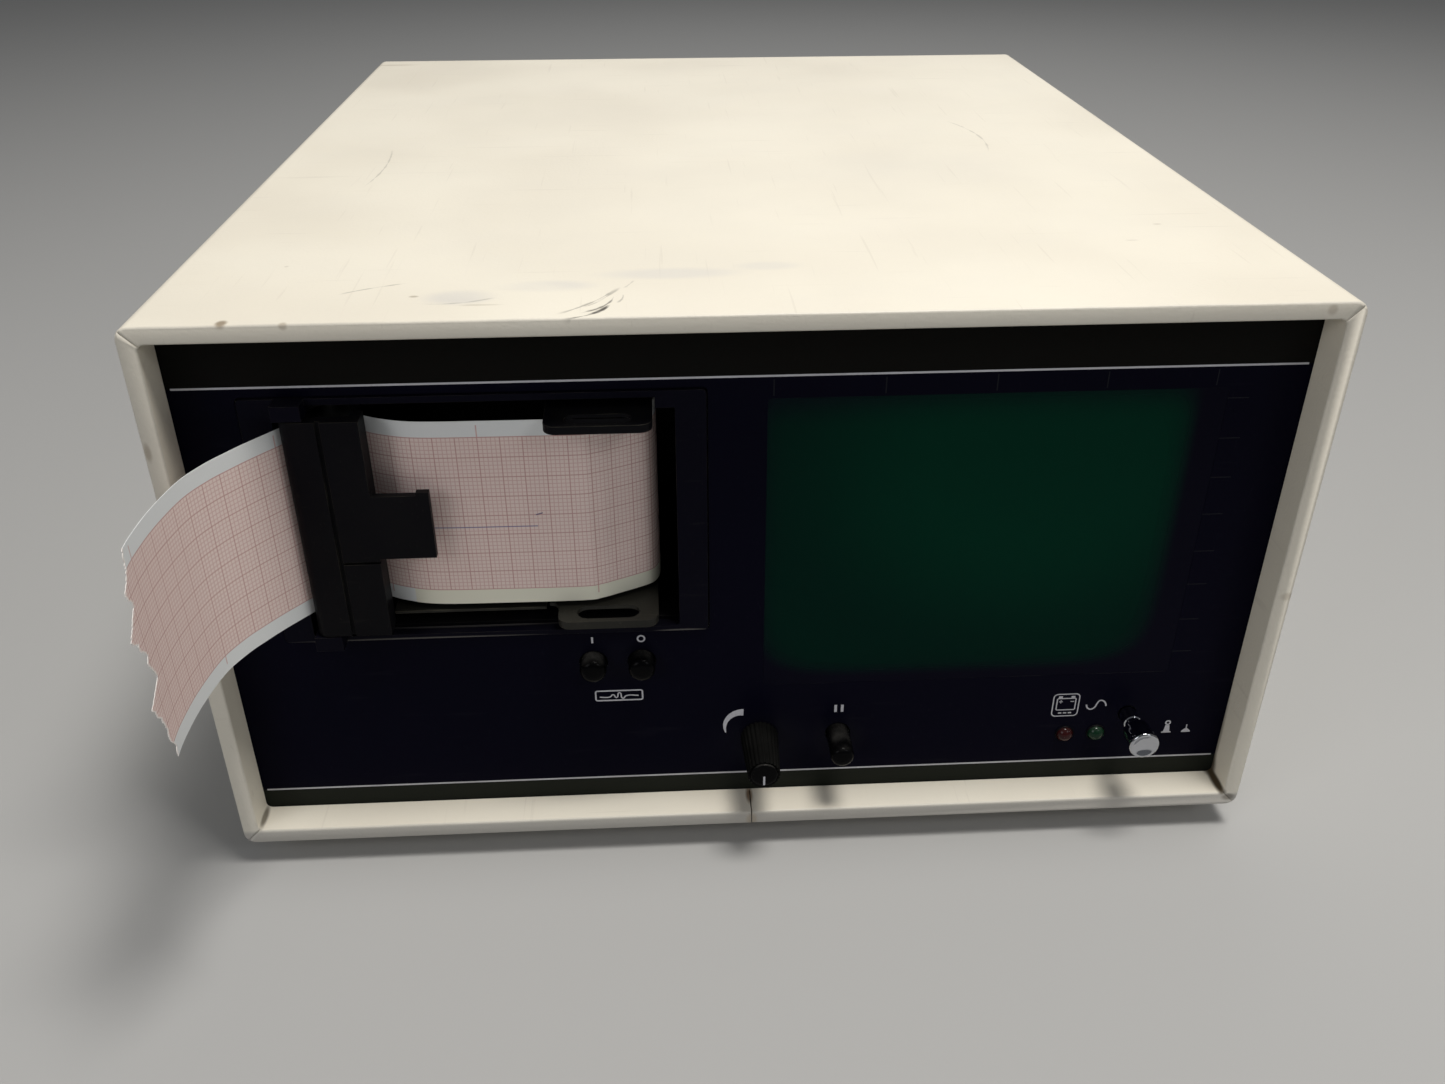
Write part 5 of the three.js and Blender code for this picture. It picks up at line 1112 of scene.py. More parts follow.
mitre_inset = 2.2
for side in (-1, 1):
    for level, corner_z in ((-1, mitre_inset), (1, case_high - mitre_inset)):
        turn = math.radians(-45 * side * level)
        corner = (side * (half_wide - mitre_inset), 0, corner_z)
        cut(shell, blade("mitre", corner, (7.5, 0.5, 0.16), turn))
cut(shell, blade("seam", (seam_x, 4.0, 2.0), (0.3, 9.0, 5.0)))
smoothed(shell, 30)
install(shell, case_enamel, "chassis", "case_paint", "case_sleeve")

# %% [markdown]
# ## Feet and their screws
# Four rubber feet stand under the corners, each a turned button with a recess for its screw. One is turned
# and softened, then copied to the other corners with its own mesh, and so is its screw with a hexagon
# socket.

# %% Feet
first_x, first_y = foot_places["front_left"]
foot_piece = turned(
    "rubber_foot",
    [(2.3, -0.2), (2.3, -3.2), (4.2, -3.2), (4.2, -7.2), (8.0, -7.2), (9.0, -0.2), (2.3, -0.2)],
    (first_x, first_y, 0), "Z", 64,
)
softened(foot_piece, 0.5, angle=50, segments=3)
screw = turned(
    "foot_screw",
    [(0, -4.6), (1.6, -4.6), (1.6, -5.8), (3.7, -5.8), (3.7, -3.4), (2.0, -3.4), (2.0, 6.9), (0, 6.9)],
    (first_x, first_y, 0), "Z", 48,
)
cut(screw, rod("socket", (first_x, first_y, -5.0), 1.7, 2.4, "Z", 6))
softened(screw, 0.22, angle=50, segments=2)
for corner, (x, y) in foot_places.items():
    step = (x - first_x, y - first_y, 0)
    foot_copy = copy_of(foot_piece, "rubber_foot_" + corner, step)
    install(foot_copy, foot_rubber, "chassis", "foot_rubber", "foot_" + corner)
    screw_copy = copy_of(screw, "foot_socket_screw_" + corner, step)
    install(screw_copy, turned_steel, "chassis", "bright_steel", "foot_screw_" + corner)
for pattern in (foot_piece, screw):
    bpy.data.objects.remove(pattern)

# %% [markdown]
# ## White print on the film
# Lines, an arc that grows with the volume, and small pictograms say what each control does. Ink has almost
# no thickness, so each mark is a flat outline two hundredths of a millimetre proud of the film. A line is
# first drawn as a chain of points, from a curve where it is round, and the chain is then widened into a
# ribbon.

# %% Ribbons of ink
ink_proud = 0.02
ink_front = panel_y - ink_proud


def stand_up(flat_piece):
    """Moves a flat piece from the drawing plane onto the film's face, facing forward."""
    for point in flat_piece.data.vertices:
        point.co = at(point.co.x / MM, ink_front, point.co.y / MM)
    edit(flat_piece)
    bpy.ops.mesh.remove_doubles(threshold=0.001 * MM)
    bpy.ops.mesh.normals_make_consistent(inside=False)
    if sum(face.normal.y for face in bmesh.from_edit_mesh(flat_piece.data).faces) > 0:
        bpy.ops.mesh.flip_normals()
    done()
    return flat_piece


def ribbon_from(line, width):
    """Turns a flat chain of edges into a ribbon of one width, standing on the film."""
    mesh = line.data
    chain = [point.co.copy() for point in mesh.vertices]
    closed = len(mesh.edges) == len(mesh.vertices)
    flat = bmesh.new()
    pairs = []
    count = len(chain)
    for number, spot in enumerate(chain):
        before = chain[(number - 1) % count] if closed or number else spot
        after = chain[(number + 1) % count] if closed or number < count - 1 else spot
        run = (after - before).normalized()
        side = Vector((-run.y, run.x, 0)) * width * MM / 2
        pairs.append((flat.verts.new(spot + side), flat.verts.new(spot - side)))
    for first, second in zip(pairs, pairs[1:] + (pairs[:1] if closed else [])):
        flat.faces.new((first[0], first[1], second[1], second[0]))
    flat.to_mesh(mesh)
    flat.free()
    return stand_up(line)


def stroke(points, width, steps=6):
    """A smooth printed line of one width through (x, z) points on the film."""
    fresh()
    curve = bpy.data.curves.new("stroke", "CURVE")
    curve.dimensions, curve.fill_mode, curve.resolution_u = "2D", "NONE", steps
    spline = curve.splines.new("BEZIER")
    spline.bezier_points.add(len(points) - 1)
    for spot, (x, z) in zip(spline.bezier_points, points):
        spot.co = (x * MM, z * MM, 0)
        spot.handle_left_type = spot.handle_right_type = "AUTO"
    line = bpy.data.objects.new("stroke", curve)
    bpy.context.scene.collection.objects.link(line)
    fresh(line)
    bpy.ops.object.convert(target="MESH")
    return ribbon_from(bpy.context.active_object, width)

# %% Outlines, loops, bars and rings
def drawn(name, points, **fill):
    """A ring of points on the drawing plane, at the (x, z) points of the film."""
    fresh()
    bpy.ops.mesh.primitive_circle_add(vertices=len(points), **fill)
    piece = new_piece(name)
    for point, (x, z) in zip(piece.data.vertices, points):
        point.co = (x * MM, z * MM, 0)
    return piece


def outline(points):
    """A filled printed shape through (x, z) corners."""
    return stand_up(drawn("outline", points, fill_type="NGON"))


def loop(points, width):
    """A closed printed line through straight-joined points."""
    return ribbon_from(drawn("loop", points), width)


def bar(x0, z0, x1, z1):
    """A printed rectangle between two corners."""
    return outline([(x0, z0), (x1, z0), (x1, z1), (x0, z1)])


def arc_points(x, z, radius, start, turn, steps):
    """Points along part of a circle, from a start through a turn, both in degrees."""
    angles = [math.radians(start + turn * step / steps) for step in range(steps + 1)]
    return [(x + radius * math.cos(angle), z + radius * math.sin(angle)) for angle in angles]


def round_box(x0, z0, x1, z1, corner, steps=5):
    """The corner points of a rounded rectangle, anticlockwise."""
    left, right, low, high = x0 + corner, x1 - corner, z0 + corner, z1 - corner
    points = []
    for number, (x, z) in enumerate(((right, high), (left, high), (left, low), (right, low))):
        points += arc_points(x, z, corner, 90 * number, 90, steps)
    return points


def ring(x, z, radius, width, count):
    """A printed circle."""
    return loop(arc_points(x, z, radius, 0, 360, count)[:-1], width)

# %% Long lines and the volume arc
line_half, line_end = 0.24, 125.2
marks = [bar(-line_end, height - line_half, line_end, height + line_half) for height in (line_low, line_high)]
arc_x, arc_z, arc_radius, arc_thick, arc_least = -1.3, 25.2, 5.1, 1.85, 0.25
outer, inner = [], []
for step in range(33):
    share = step / 32
    turn = math.radians(88 + 120 * share)
    inner_radius = arc_radius - arc_thick * (1 - share) ** 0.75 - arc_least
    outer.append((arc_x + arc_radius * math.cos(turn), arc_z + arc_radius * math.sin(turn)))
    inner.append((arc_x + inner_radius * math.cos(turn), arc_z + inner_radius * math.sin(turn)))
marks.append(outline(outer + inner[::-1]))
print(len(marks), "marks so far")

# %% Pictograms: hold, start and stop, chart, battery, mains, button out and in
marks += [bar(22.3, 28.3, 23.0, 30.6), bar(24.0, 28.3, 24.7, 30.6)]
marks += [bar(-38.85, 52.4, -38.35, 54.2), ring(-26.6, 53.3, 0.85, 0.42, 24)]
marks.append(loop(round_box(-38.6, 34.6, -26.8, 37.6, 0.5), 0.4))
marks.append(stroke([(-37.6, 35.7), (-35.0, 35.7), (-34.2, 36.4), (-33.4, 35.4), (-32.6, 37.0), (-31.8, 35.1),
                     (-31.0, 35.9), (-27.8, 35.9)], 0.34, steps=4))
marks.append(loop(round_box(79.6, 24.3, 86.4, 31.4, 1.1), 0.3))
marks.append(loop(round_box(80.6, 26.3, 85.5, 30.0, 0.2, 1), 0.3))
marks += [bar(80.9, 30.2, 81.9, 30.75), bar(84.2, 30.2, 85.2, 30.75)]
marks += [bar(81.1, 28.85, 82.1, 29.1), bar(81.48, 28.45, 81.72, 29.5), bar(84.1, 28.85, 85.1, 29.1)]
marks += [bar(81.3, 25.1, 82.2, 25.5), bar(82.6, 25.1, 83.5, 25.5), bar(83.9, 25.1, 84.8, 25.5)]
marks.append(stroke([(88.5, 27.7), (88.9, 26.7), (89.8, 26.2), (90.8, 26.8), (91.3, 28.0), (91.9, 28.9),
                     (92.8, 28.8), (93.5, 28.0), (93.8, 27.1)], 0.4))
marks.append(outline([(110.1, 17.4), (112.7, 17.4), (112.7, 17.75), (112.3, 17.85), (112.0, 19.9),
                      (110.9, 19.9), (110.6, 17.85), (110.1, 17.75)]))
marks.append(ring(111.45, 20.75, 0.6, 0.4, 20))
marks.append(outline([(115.5, 17.4), (117.9, 17.4), (117.9, 17.75), (117.2, 18.5), (116.85, 18.6),
                      (116.85, 19.9), (116.55, 19.9), (116.55, 18.6), (116.2, 18.5), (115.5, 17.75)]))
install(one_object("printed_marks", marks), white_ink, "chassis", "panel_print")

# %% [markdown]
# Faint ticks stand along the top and right of the window, as a scale for reading the trace. They are
# printed in a grey so dark that they hardly show, so they get an ink of their own.

# %% Faint ticks round the window
upright_half, level_half = 0.14, 0.13
tick_levels = (114.2, 104.1, 93.9, 84, 73.7, 64.2, 53.8, 44)
ticks = [bar(x - upright_half, 117.4, x + upright_half, 121.4) for x in (5, 30, 55, 80, 105)]
ticks += [bar(108.2, z - level_half, 113.2, z + level_half) for z in tick_levels]
install(one_object("window_ticks", ticks), faint_ink, "chassis", "panel_print")

# %% [markdown]
# ## Window and picture tube
# The green window fills its hole in the film so closely that no gap shows. Behind it stands a small picture
# tube with a gently bowed face. The tube keeps the engineering model's form, merged and shaded smooth; its
# frame is painted black, and the plate behind the film is opened to the window's size, so that the glow
# reaches the window's edge on the left and the top, as the photograph shows.

# %% Window
window_low, window_high = box_mm("screen_window")
window_reach, window_round = 0.28, 0.3
window = block(
    "window_filter", (window_low[0] - window_reach, window_low[1] + 0.01, window_low[2] - window_reach),
    (window_high[0] + window_reach, window_high[1], window_high[2] + window_reach),
)
edit(window, lambda middle, run: abs(run.y) > 0.9, "EDGE")
bpy.ops.mesh.bevel(offset=window_round * MM, segments=3, affect="EDGES")
done()
softened(window, 0.05, angle=60, segments=1)
install(window, green_filter, "chassis", "green_window", "screen_window")

# %% Plate, tube and tube frame
def soft_solid(name, node_name, width, finish, body="chassis", segments=2):
    """A copy of a node's solid with soft edges, installed in the node's place."""
    piece = softened(solid_of(node_name, name), width, angle=50, segments=segments)
    return install(piece, finish, body, slot_of[node_name], node_name)


plate = solid_of("front_panel", "front_plate")
plate_low, plate_high = box_mm("front_panel")
hole_gap = 0.1
hole_low = (window_low[0] - hole_gap, plate_low[1] - 1, window_low[2] - hole_gap)
hole_high = (window_high[0] + hole_gap, plate_high[1] + 1, window_high[2] + hole_gap)
cut(plate, block("wider_hole", hole_low, hole_high))
softened(plate, 0.15, angle=50, segments=1)
install(plate, zinc_plate, "chassis", "plated_steel", "front_panel")
tube = softened(solid_of("crt_tube", "picture_tube"), 0.8, angle=60, segments=2, smooth=45)
install(tube, tube_phosphor, "chassis", "tube_glass", "crt_tube")
soft_solid("tube_mounting_frame", "crt_frame", 0.3, black_moulding)

# %% [markdown]
# ## The volume knob
# The knob is a fluted plug that narrows towards its front, with a darker, glossier disc let into its face
# and a white pointer on the disc. A cone with many sides gives the taper; two of every four of its points
# are drawn in a little to make the flutes, which is quicker and cleaner than cutting grooves one by one.

# %% Knob
knob_x, _, knob_z = middle_of("volume_knob")
knob_front, knob_back = span_of("volume_knob", 1)
body_front = knob_front + 0.5
cone_points, flute_share = 96, 0.945
fresh()
bpy.ops.mesh.primitive_cone_add(
    vertices=cone_points, radius1=4.9 * MM, radius2=4.1 * MM, depth=(knob_back - body_front) * MM,
    location=at(knob_x, (knob_back + body_front) / 2, knob_z), rotation=AXES["Y"],
)
knob_body = new_piece("knob_grip")


def in_flute(middle, _normal):
    """Two of every four points round the cone."""
    turn = math.atan2(middle.z - knob_z, middle.x - knob_x) / math.tau % 1
    return round(turn * cone_points) % 4 in (1, 2)


edit(knob_body, in_flute, "VERT")
bpy.ops.transform.resize(value=(flute_share, 1, flute_share), center_override=at(knob_x, 0, knob_z))
done()
edit(knob_body, lambda middle, normal: normal.y < -0.9)
bpy.ops.mesh.inset(thickness=0.55 * MM)
bpy.ops.transform.translate(value=(0, 0.35 * MM, 0))
done()
cut(knob_body, rod("bore", (knob_x, 6.1, knob_z), 3.12, 8, "Y", 48))
softened(knob_body, 0.16, angle=50, segments=2)
install(knob_body, knob_moulding, "volume", "knob_plastic", "volume_knob")

# %% Disc and pointer
def turned_part(name, profile, middle, sides, smooth, finish, body, slot, *stands_for, axis="Y"):
    """A turned piece with its faces shaded smoothly up to an angle, installed."""
    piece = smoothed(turned(name, profile, middle, axis, sides), smooth)
    return install(piece, finish, body, slot, *stands_for)


turned_part(
    "knob_disc", [(0, 0.03), (2.4, 0.05), (3.1, 0.12), (3.35, 0.3), (3.4, 0.6), (3.4, 1.0), (0, 1.0)],
    (knob_x, knob_front, knob_z), 72, 50, button_moulding, "volume", "knob_plastic",
)
pointer_half = 0.26
pointer = block(
    "knob_pointer", (knob_x - pointer_half, knob_front + 0.005, knob_z - 3.0),
    (knob_x + pointer_half, knob_front + 0.4, knob_z - 0.2),
)
softened(pointer, 0.06, angle=50, segments=2)
install(pointer, white_ink, "volume", "knob_plastic")

# %% [markdown]
# ## Push buttons
# Freeze, run and off are plain black push buttons with a rounded face that throws one small bright point of
# light. All three are turned from one profile: face, rounded shoulder, barrel and shank.

# %% Buttons
face_shares = ((0, 0), (0.3, 0.012), (0.55, 0.05), (0.74, 0.12), (0.88, 0.23), (0.96, 0.36), (1.0, 0.55))
barrel_end, shank = 10.5, 1.6
for body in ("freeze", "run", "off"):
    low, high = box_mm(body + "_button")
    x, _, z = middle_of(body + "_button")
    radius = (high[0] - low[0]) / 2
    face = [(radius * share, low[1] + radius * sag) for share, sag in face_shares]
    barrel = [(radius, barrel_end - 0.3), (radius - 0.3, barrel_end), (shank, barrel_end)]
    profile = face + barrel + [(shank, high[1]), (0, high[1])]
    turned_part(
        body + "_push", profile, (x, 0, z), 64, 50, button_moulding, body, "black_plastic", body + "_button",
    )

# %% [markdown]
# ## Power button and lamps
# The power button is a bright metal cap on a slim shaft of the same metal. Its face is dished, so it
# gathers the floor and the lamps in a small upside-down picture. The two lamps are tinted lenses with a
# round front, each in a thin dark collar.

# %% Power cap and shaft
cap_x, _, cap_z = middle_of("power_cap")
turned_part(
    "power_button_cap",
    [(0, 1.0), (0.8, 0.96), (1.6, 0.8), (2.3, 0.52), (2.9, 0.18), (3.15, 0.04), (3.4, 0.0), (3.65, 0.1),
     (3.8, 0.4), (3.8, 0.8), (3.66, 1.1), (3.62, 2.0), (3.5, 6.2), (3.35, 6.7), (3.0, 7.0), (2.3, 7.0),
     (2.3, 3.0), (0, 3.0)],
    (cap_x, box_mm("power_cap")[0][1], cap_z), 96, 42, polished_cap, "power", "chrome_cap", "power_cap",
)
shaft_front, shaft_back = span_of("power_shaft", 1)
turned_part(
    "power_button_shaft",
    [(0, shaft_front), (1.9, shaft_front), (2.2, shaft_front + 0.3), (2.2, 4.4), (1.95, 4.6), (1.95, 5.2),
     (2.2, 5.4), (2.2, shaft_back), (0, shaft_back)],
    (cap_x, 0, cap_z), 64, 42, polished_cap, "power", "bright_steel", "power_shaft",
)

# %% Lamps with their collars
dome_radius, dome_high, flange = 2.2, 2.0, 12.6
dome_turns = [math.radians(step * 11.25) for step in range(9)]
for lamp_name, finish, slot in (("battery", red_lens, "red_lens"), ("mains", green_lens, "green_lens")):
    front, back = span_of(lamp_name + "_lamp", 1)
    x, _, z = middle_of(lamp_name + "_lamp")
    dome = [
        (dome_radius * math.sin(turn), front + dome_high - dome_high * math.cos(turn)) for turn in dome_turns
    ]
    base = [(2.2, flange), (2.9, flange), (2.9, flange + 1), (1.5, flange + 1), (1.5, back), (0, back)]
    turned_part(
        lamp_name + "_lens", dome + base, (x, 0, z), 48, 50, finish, "chassis", slot, lamp_name + "_lamp",
    )
    turned_part(
        lamp_name + "_lens_collar",
        [(2.22, 9.2), (2.32, 9.12), (2.42, 9.2), (2.5, 9.45), (2.5, 9.58), (2.22, 9.58), (2.22, 9.2)],
        (x, 0, z), 48, 50, recorder_moulding, "chassis", "black_plastic",
    )

# %% [markdown]
# ## The recorder's frame
# Bezel and housing are plain mouldings whose form the engineering model has right, so they are merged
# copies with softened edges. The softening matters: in the photograph the bezel is seen mostly by the thin
# light lines along its lower edges.

# %% Bezel and housing
# The thin light lines along the bezel's lower edges are painted highlights in its finish.
soft_solid("recorder_frame", "recorder_bezel", 0.35, bezel_moulding, segments=3)
soft_solid("recorder_box", "recorder_housing", 0.3, recorder_moulding)

# %% [markdown]
# ## The paper gate and the roll arms
# The gate swings on the left and carries the print head; its finger tab reaches over the paper, with a
# small raised stop at the end of its upper edge. The two arms hold the roll between them and have a slot
# for a finger nail. All three are handled often, so their edges are worn most; the lower arm is painted a
# lighter olive than the upper one, as painted light.

# %% Gate with its stop
gate = solid_of("paper_gate", "hinged_gate")
tab_high = 98.0
cut(gate, block("tab_step", (-85.3, 3.5, tab_high - 0.75), (-75.4, 7.5, tab_high + 1)))
softened(gate, 0.32, angle=50, segments=3)
install(gate, recorder_moulding, "gate", "recorder_plastic", "paper_gate")
soft_solid("thermal_head", "print_head", 0.25, turned_steel, "gate")
pin_x, pin_y, _ = middle_of("gate_pin")
pin_top, pin_long = box_mm("gate_pin")[1][2], 59.7
turned_part(
    "hinge_pin",
    [(0, -pin_long), (1.0, -pin_long), (1.25, 0.3 - pin_long), (1.25, -0.3), (1.0, 0), (0, 0)],
    (pin_x, pin_y, pin_top), 32, 50, turned_steel, "chassis", "bright_steel", "gate_pin", axis="Z",
)

# %% Arms
soft_solid("upper_arm_plate", "upper_roll_arm", 0.28, recorder_moulding, "upper_arm", 3)
# The lower arm takes the lighter olive, painted light on the same moulding as the upper arm.
soft_solid("lower_arm_plate", "lower_roll_arm", 0.28, olive_with_painted_light, "lower_arm", 3)

# %% [markdown]
# ## The chart paper
# A flat grid of the paper's real length and width gets its UV map while it still lies flat, in metres, and
# is then laid on the route: each point goes as far along it as it lies along the sheet. The far end is
# torn, in three lobes with a ragged fringe, so its last columns are drawn back to the tear. A thin wall
# follows last.

# %% A sheet laid along a route
tear_reach, untorn = 16.0, 99.0


def laid_sheet(name, path, first_run, columns, rows, end_of=None, thick=0.12):
    """A flat grid bent along a path seen from above; end_of(height) gives where each row of it ends."""
    steps = np.concatenate([[0], np.cumsum(np.linalg.norm(np.diff(path, axis=0), axis=1))])
    long = steps[-1]
    fresh()
    bpy.ops.mesh.primitive_grid_add(x_subdivisions=columns, y_subdivisions=rows, size=1)
    piece = new_piece(name)
    mesh = piece.data
    flat = np.empty(len(mesh.vertices) * 3, np.float32)
    mesh.vertices.foreach_get("co", flat)
    flat = flat.reshape(-1, 3)
    along_mm, up_mm = (flat[:, 0] + 0.5) * long, (flat[:, 1] + 0.5) * paper_wide
    ends = np.full(len(flat), long) if end_of is None else np.array([end_of(height) for height in up_mm])
    drawn = long - tear_reach
    back = np.clip((along_mm - drawn) / tear_reach, 0, 1)
    along_mm = np.where(along_mm > drawn, drawn + back * (ends - drawn), along_mm)
    x, y = (np.interp(along_mm, steps, path[:, axis]) for axis in (0, 1))
    bent = np.stack([x, y, up_mm + roll_low[2]], 1) * MM + np.array(case_origin)
    mesh.vertices.foreach_set("co", bent.astype(np.float32).ravel())
    layer = mesh.uv_layers.active or mesh.uv_layers.new(name="UVMap")
    corners = np.empty(len(mesh.loops), np.int32)
    mesh.loops.foreach_get("vertex_index", corners)
    spread = np.stack([(along_mm + first_run) * MM, up_mm * MM], 1)
    layer.data.foreach_set("uv", spread[corners].astype(np.float32).ravel())
    left = np.full(len(flat), untorn) if end_of is None else ends - along_mm
    mesh.attributes.new("from_tear", "FLOAT", "POINT").data.foreach_set("value", left.astype(np.float32))
    mesh.update()
    applied(piece, "SOLIDIFY", thickness=thick * MM, offset=0)
    return smoothed(piece, 60)

# %% The torn sheet
tear_lobes = (
    (0, 0.9), (0.1, 0.72), (0.21, 0.62), (0.33, 0.08), (0.4, 0.95), (0.53, 0.7), (0.67, 0.05), (0.76, 0.8),
    (0.84, 0.5), (0.9, 0.9), (1, 1),
)
lobe_depth, least_left, fringe_spots = 7.4, 0.3, 400
fringe = np.random.default_rng(7).normal(0, 1, fringe_spots)
fine_fringe, broad_fringe = (np.convolve(fringe, np.ones(count) / count, "same") for count in (3, 15))
fringe = fine_fringe * 0.35 + broad_fringe * 1.2


def torn_end(height):
    """How far the sheet reaches at this height: three lobes and a ragged fringe, short of the route's end."""
    share = height / paper_wide
    bite = np.interp(share, *zip(*tear_lobes)) * lobe_depth
    ragged = np.interp(share * (fringe_spots - 1), range(fringe_spots), fringe)
    return min(paper_long - bite - least_left + ragged, paper_long - least_left)


sheet = laid_sheet("ruled_paper", route, 0.0, 300, 130, torn_end)
install(sheet, chart_print, "chassis", "chart_print", "chart_paper")

# %% [markdown]
# ## The roll
# The roll is wound paper on a white core. Its outermost turn is the same ruled sheet, so it is laid round
# the roll with the same helper and its ruling runs on from the web. The rest is one turned body whose ends
# show the edges of the turns as fine uneven rings.

# %% Roll, outer turn and core
wound_radius = roll_radius - 0.2
turned_part(
    "wound_paper",
    [(8.0, 0), (9.2, 0.06), (10.2, 0.0), (roll_radius - 0.5, 0.04), (wound_radius, 0.25),
     (wound_radius, 47.75), (roll_radius - 0.5, 47.96), (10.2, 48), (9.2, 47.94), (8.0, 48), (8.0, 0)],
    (roll_x, roll_y, roll_low[2]), 120, 40, roll_paper, "roll", "roll_paper", "paper_roll", axis="Z",
)
leave = math.atan2(web_start[1] - roll_y, web_start[0] - roll_x)
turn_radius = roll_radius - 0.08
turns = leave + np.linspace(1, 0, 181) * math.tau
turn_path = np.stack([roll_x + turn_radius * np.cos(turns), roll_y + turn_radius * np.sin(turns)], 1)
outer_turn = laid_sheet("outer_turn", turn_path, -math.tau * roll_radius, 180, 24, thick=0.1)
install(outer_turn, chart_print, "roll", "chart_print")
soft_solid("roll_core_tube", "roll_core", 0.25, white_nylon, "roll")

# %% Platen
platen_x, platen_y, _ = middle_of("platen_roller")
platen_low, platen_high = span_of("platen_roller", 2)
platen_long, platen_radius, bore_radius = platen_high - platen_low, 7.0, 2.05
turned_part(
    "rubber_platen",
    [(bore_radius, 0), (platen_radius - 0.4, 0), (platen_radius, 0.4), (platen_radius, platen_long - 0.4),
     (platen_radius - 0.4, platen_long), (bore_radius, platen_long), (bore_radius, 0)],
    (platen_x, platen_y, platen_low), 72, 50, platen_rubber, "platen", "platen_rubber", "platen_roller",
    axis="Z",
)

# %% [markdown]
# ## The ledge under the paper
# Under the web's lower edge runs a narrow olive ledge that carries on from the lower arm. It keeps the
# paper from sinking. A block with a rolled front edge is enough.

# %% Paper ledge
ledge_low, ledge_high = (-85.4, 10.0, 62.5), (-49.0, 15.0, 63.3)
ledge = softened(block("paper_ledge", ledge_low, ledge_high), 0.3, angle=50, segments=3)
# The ledge shares the lower arm's lighter olive, painted light.
install(ledge, olive_with_painted_light, "chassis", "recorder_plastic")

# %% [markdown]
# ## The back
# Nothing of the back shows in the photograph, so it is a guess at what such a monitor has: a plated panel
# held by six screws, a mains inlet with three blades, a fuse holder, a round socket for the patient's cable
# and slots before the speaker. The panel and the inlet are softened copies of their solids, since their
# shapes are already right. The round ones are turned again with the lips, flutes and pins that a close look
# would show.

# %% Back panel and its screws
soft_solid("back_panel", "rear_panel", 0.25, zinc_plate)
back_low, back_high = box_mm("rear_panel")
back_face = back_high[1]
screw_inset, driver_long, driver_deep, driver_thick = 9.0, 4.4, 1.4, 0.8
screw_first = (back_low[0] + screw_inset, back_face, back_low[2] + screw_inset)
panel_screw = turned(
    "panel_screw", [(0, 1.7), (1.4, 1.62), (2.4, 1.3), (2.9, 0.7), (3.0, 0.0), (0, 0)], screw_first, "Y", 40
)
for size in ((driver_long, driver_deep, driver_thick), (driver_thick, driver_deep, driver_long)):
    slot_middle = (screw_first[0], back_face + 1.5, screw_first[2])
    low = [place - length / 2 for place, length in zip(slot_middle, size)]
    high = [start + length for start, length in zip(low, size)]
    cut(panel_screw, block("driver_slot", low, high))
softened(panel_screw, 0.12, angle=50, segments=2)
across_gap, up_gap = (back_high[axis] - back_low[axis] - 2 * screw_inset for axis in (0, 2))
for column in range(3):
    for row in range(2):
        step = (across_gap * column / 2, 0, up_gap * row)
        one = copy_of(panel_screw, f"panel_screw_{column + 1}_{row + 1}", step)
        install(one, turned_steel, "chassis", "bright_steel")
bpy.data.objects.remove(panel_screw)

# %% Mains inlet and its blades
soft_solid("inlet_body", "mains_inlet", 0.3, black_moulding)
inlet_x, _, inlet_z = middle_of("mains_inlet")
inlet_back = box_mm("mains_inlet")[1][1]
blade_gap, blade_lift, blade_half = 7.0, 2.0, (1.1, 2.1)
blades = []
for side in (-1, 0, 1):
    x, z = inlet_x + side * blade_gap, inlet_z + (blade_lift if side == 0 else -blade_lift)
    low = (x - blade_half[0], inlet_back - 16, z - blade_half[1])
    high = (x + blade_half[0], inlet_back - 5.9, z + blade_half[1])
    blades.append(softened(block("blade", low, high), 0.5, angle=50, segments=3))
install(one_object("inlet_blades", blades), satin_nickel, "chassis", "connector_metal")

# %% Fuse holder
fuse_x, _, fuse_z = middle_of("fuse_holder")
fuse_start, fuse_end = [depth - back_face for depth in span_of("fuse_holder", 1)]
fuse_sides = 72
fuse = turned(
    "fuse_cap",
    [(0, fuse_start), (5.2, fuse_start), (5.9, fuse_start + 0.8), (5.9, 0.25), (7.4, 0.25), (7.4, 1.6),
     (6.9, 2.0), (6.8, fuse_end - 1.2), (6.1, fuse_end - 0.3), (5.4, fuse_end), (0, fuse_end)],
    (fuse_x, back_face, fuse_z), "Y", fuse_sides,
)


def in_grip(middle, _normal):
    """Every third face of the cap's side, which is pressed in for a grip."""
    turn = math.atan2(middle.z - fuse_z, middle.x - fuse_x) / math.tau
    on_side = back_face + 2.2 < middle.y < back_face + fuse_end - 1.4
    return on_side and round(turn * fuse_sides - 0.5) % 3 == 0


edit(fuse, in_grip)
bpy.ops.mesh.inset(thickness=0.1 * MM, depth=-0.28 * MM, use_individual=True)
done()
coin_half, coin_deep = (4.4, 0.7), 1.1
fuse_face = back_face + fuse_end
coin_low = (fuse_x - coin_half[0], fuse_face - coin_deep, fuse_z - coin_half[1])
coin_high = (fuse_x + coin_half[0], fuse_face + 2, fuse_z + coin_half[1])
cut(fuse, block("coin_slot", coin_low, coin_high))
softened(fuse, 0.15, angle=50, segments=2)
install(fuse, black_moulding, "chassis", "black_plastic", "fuse_holder")

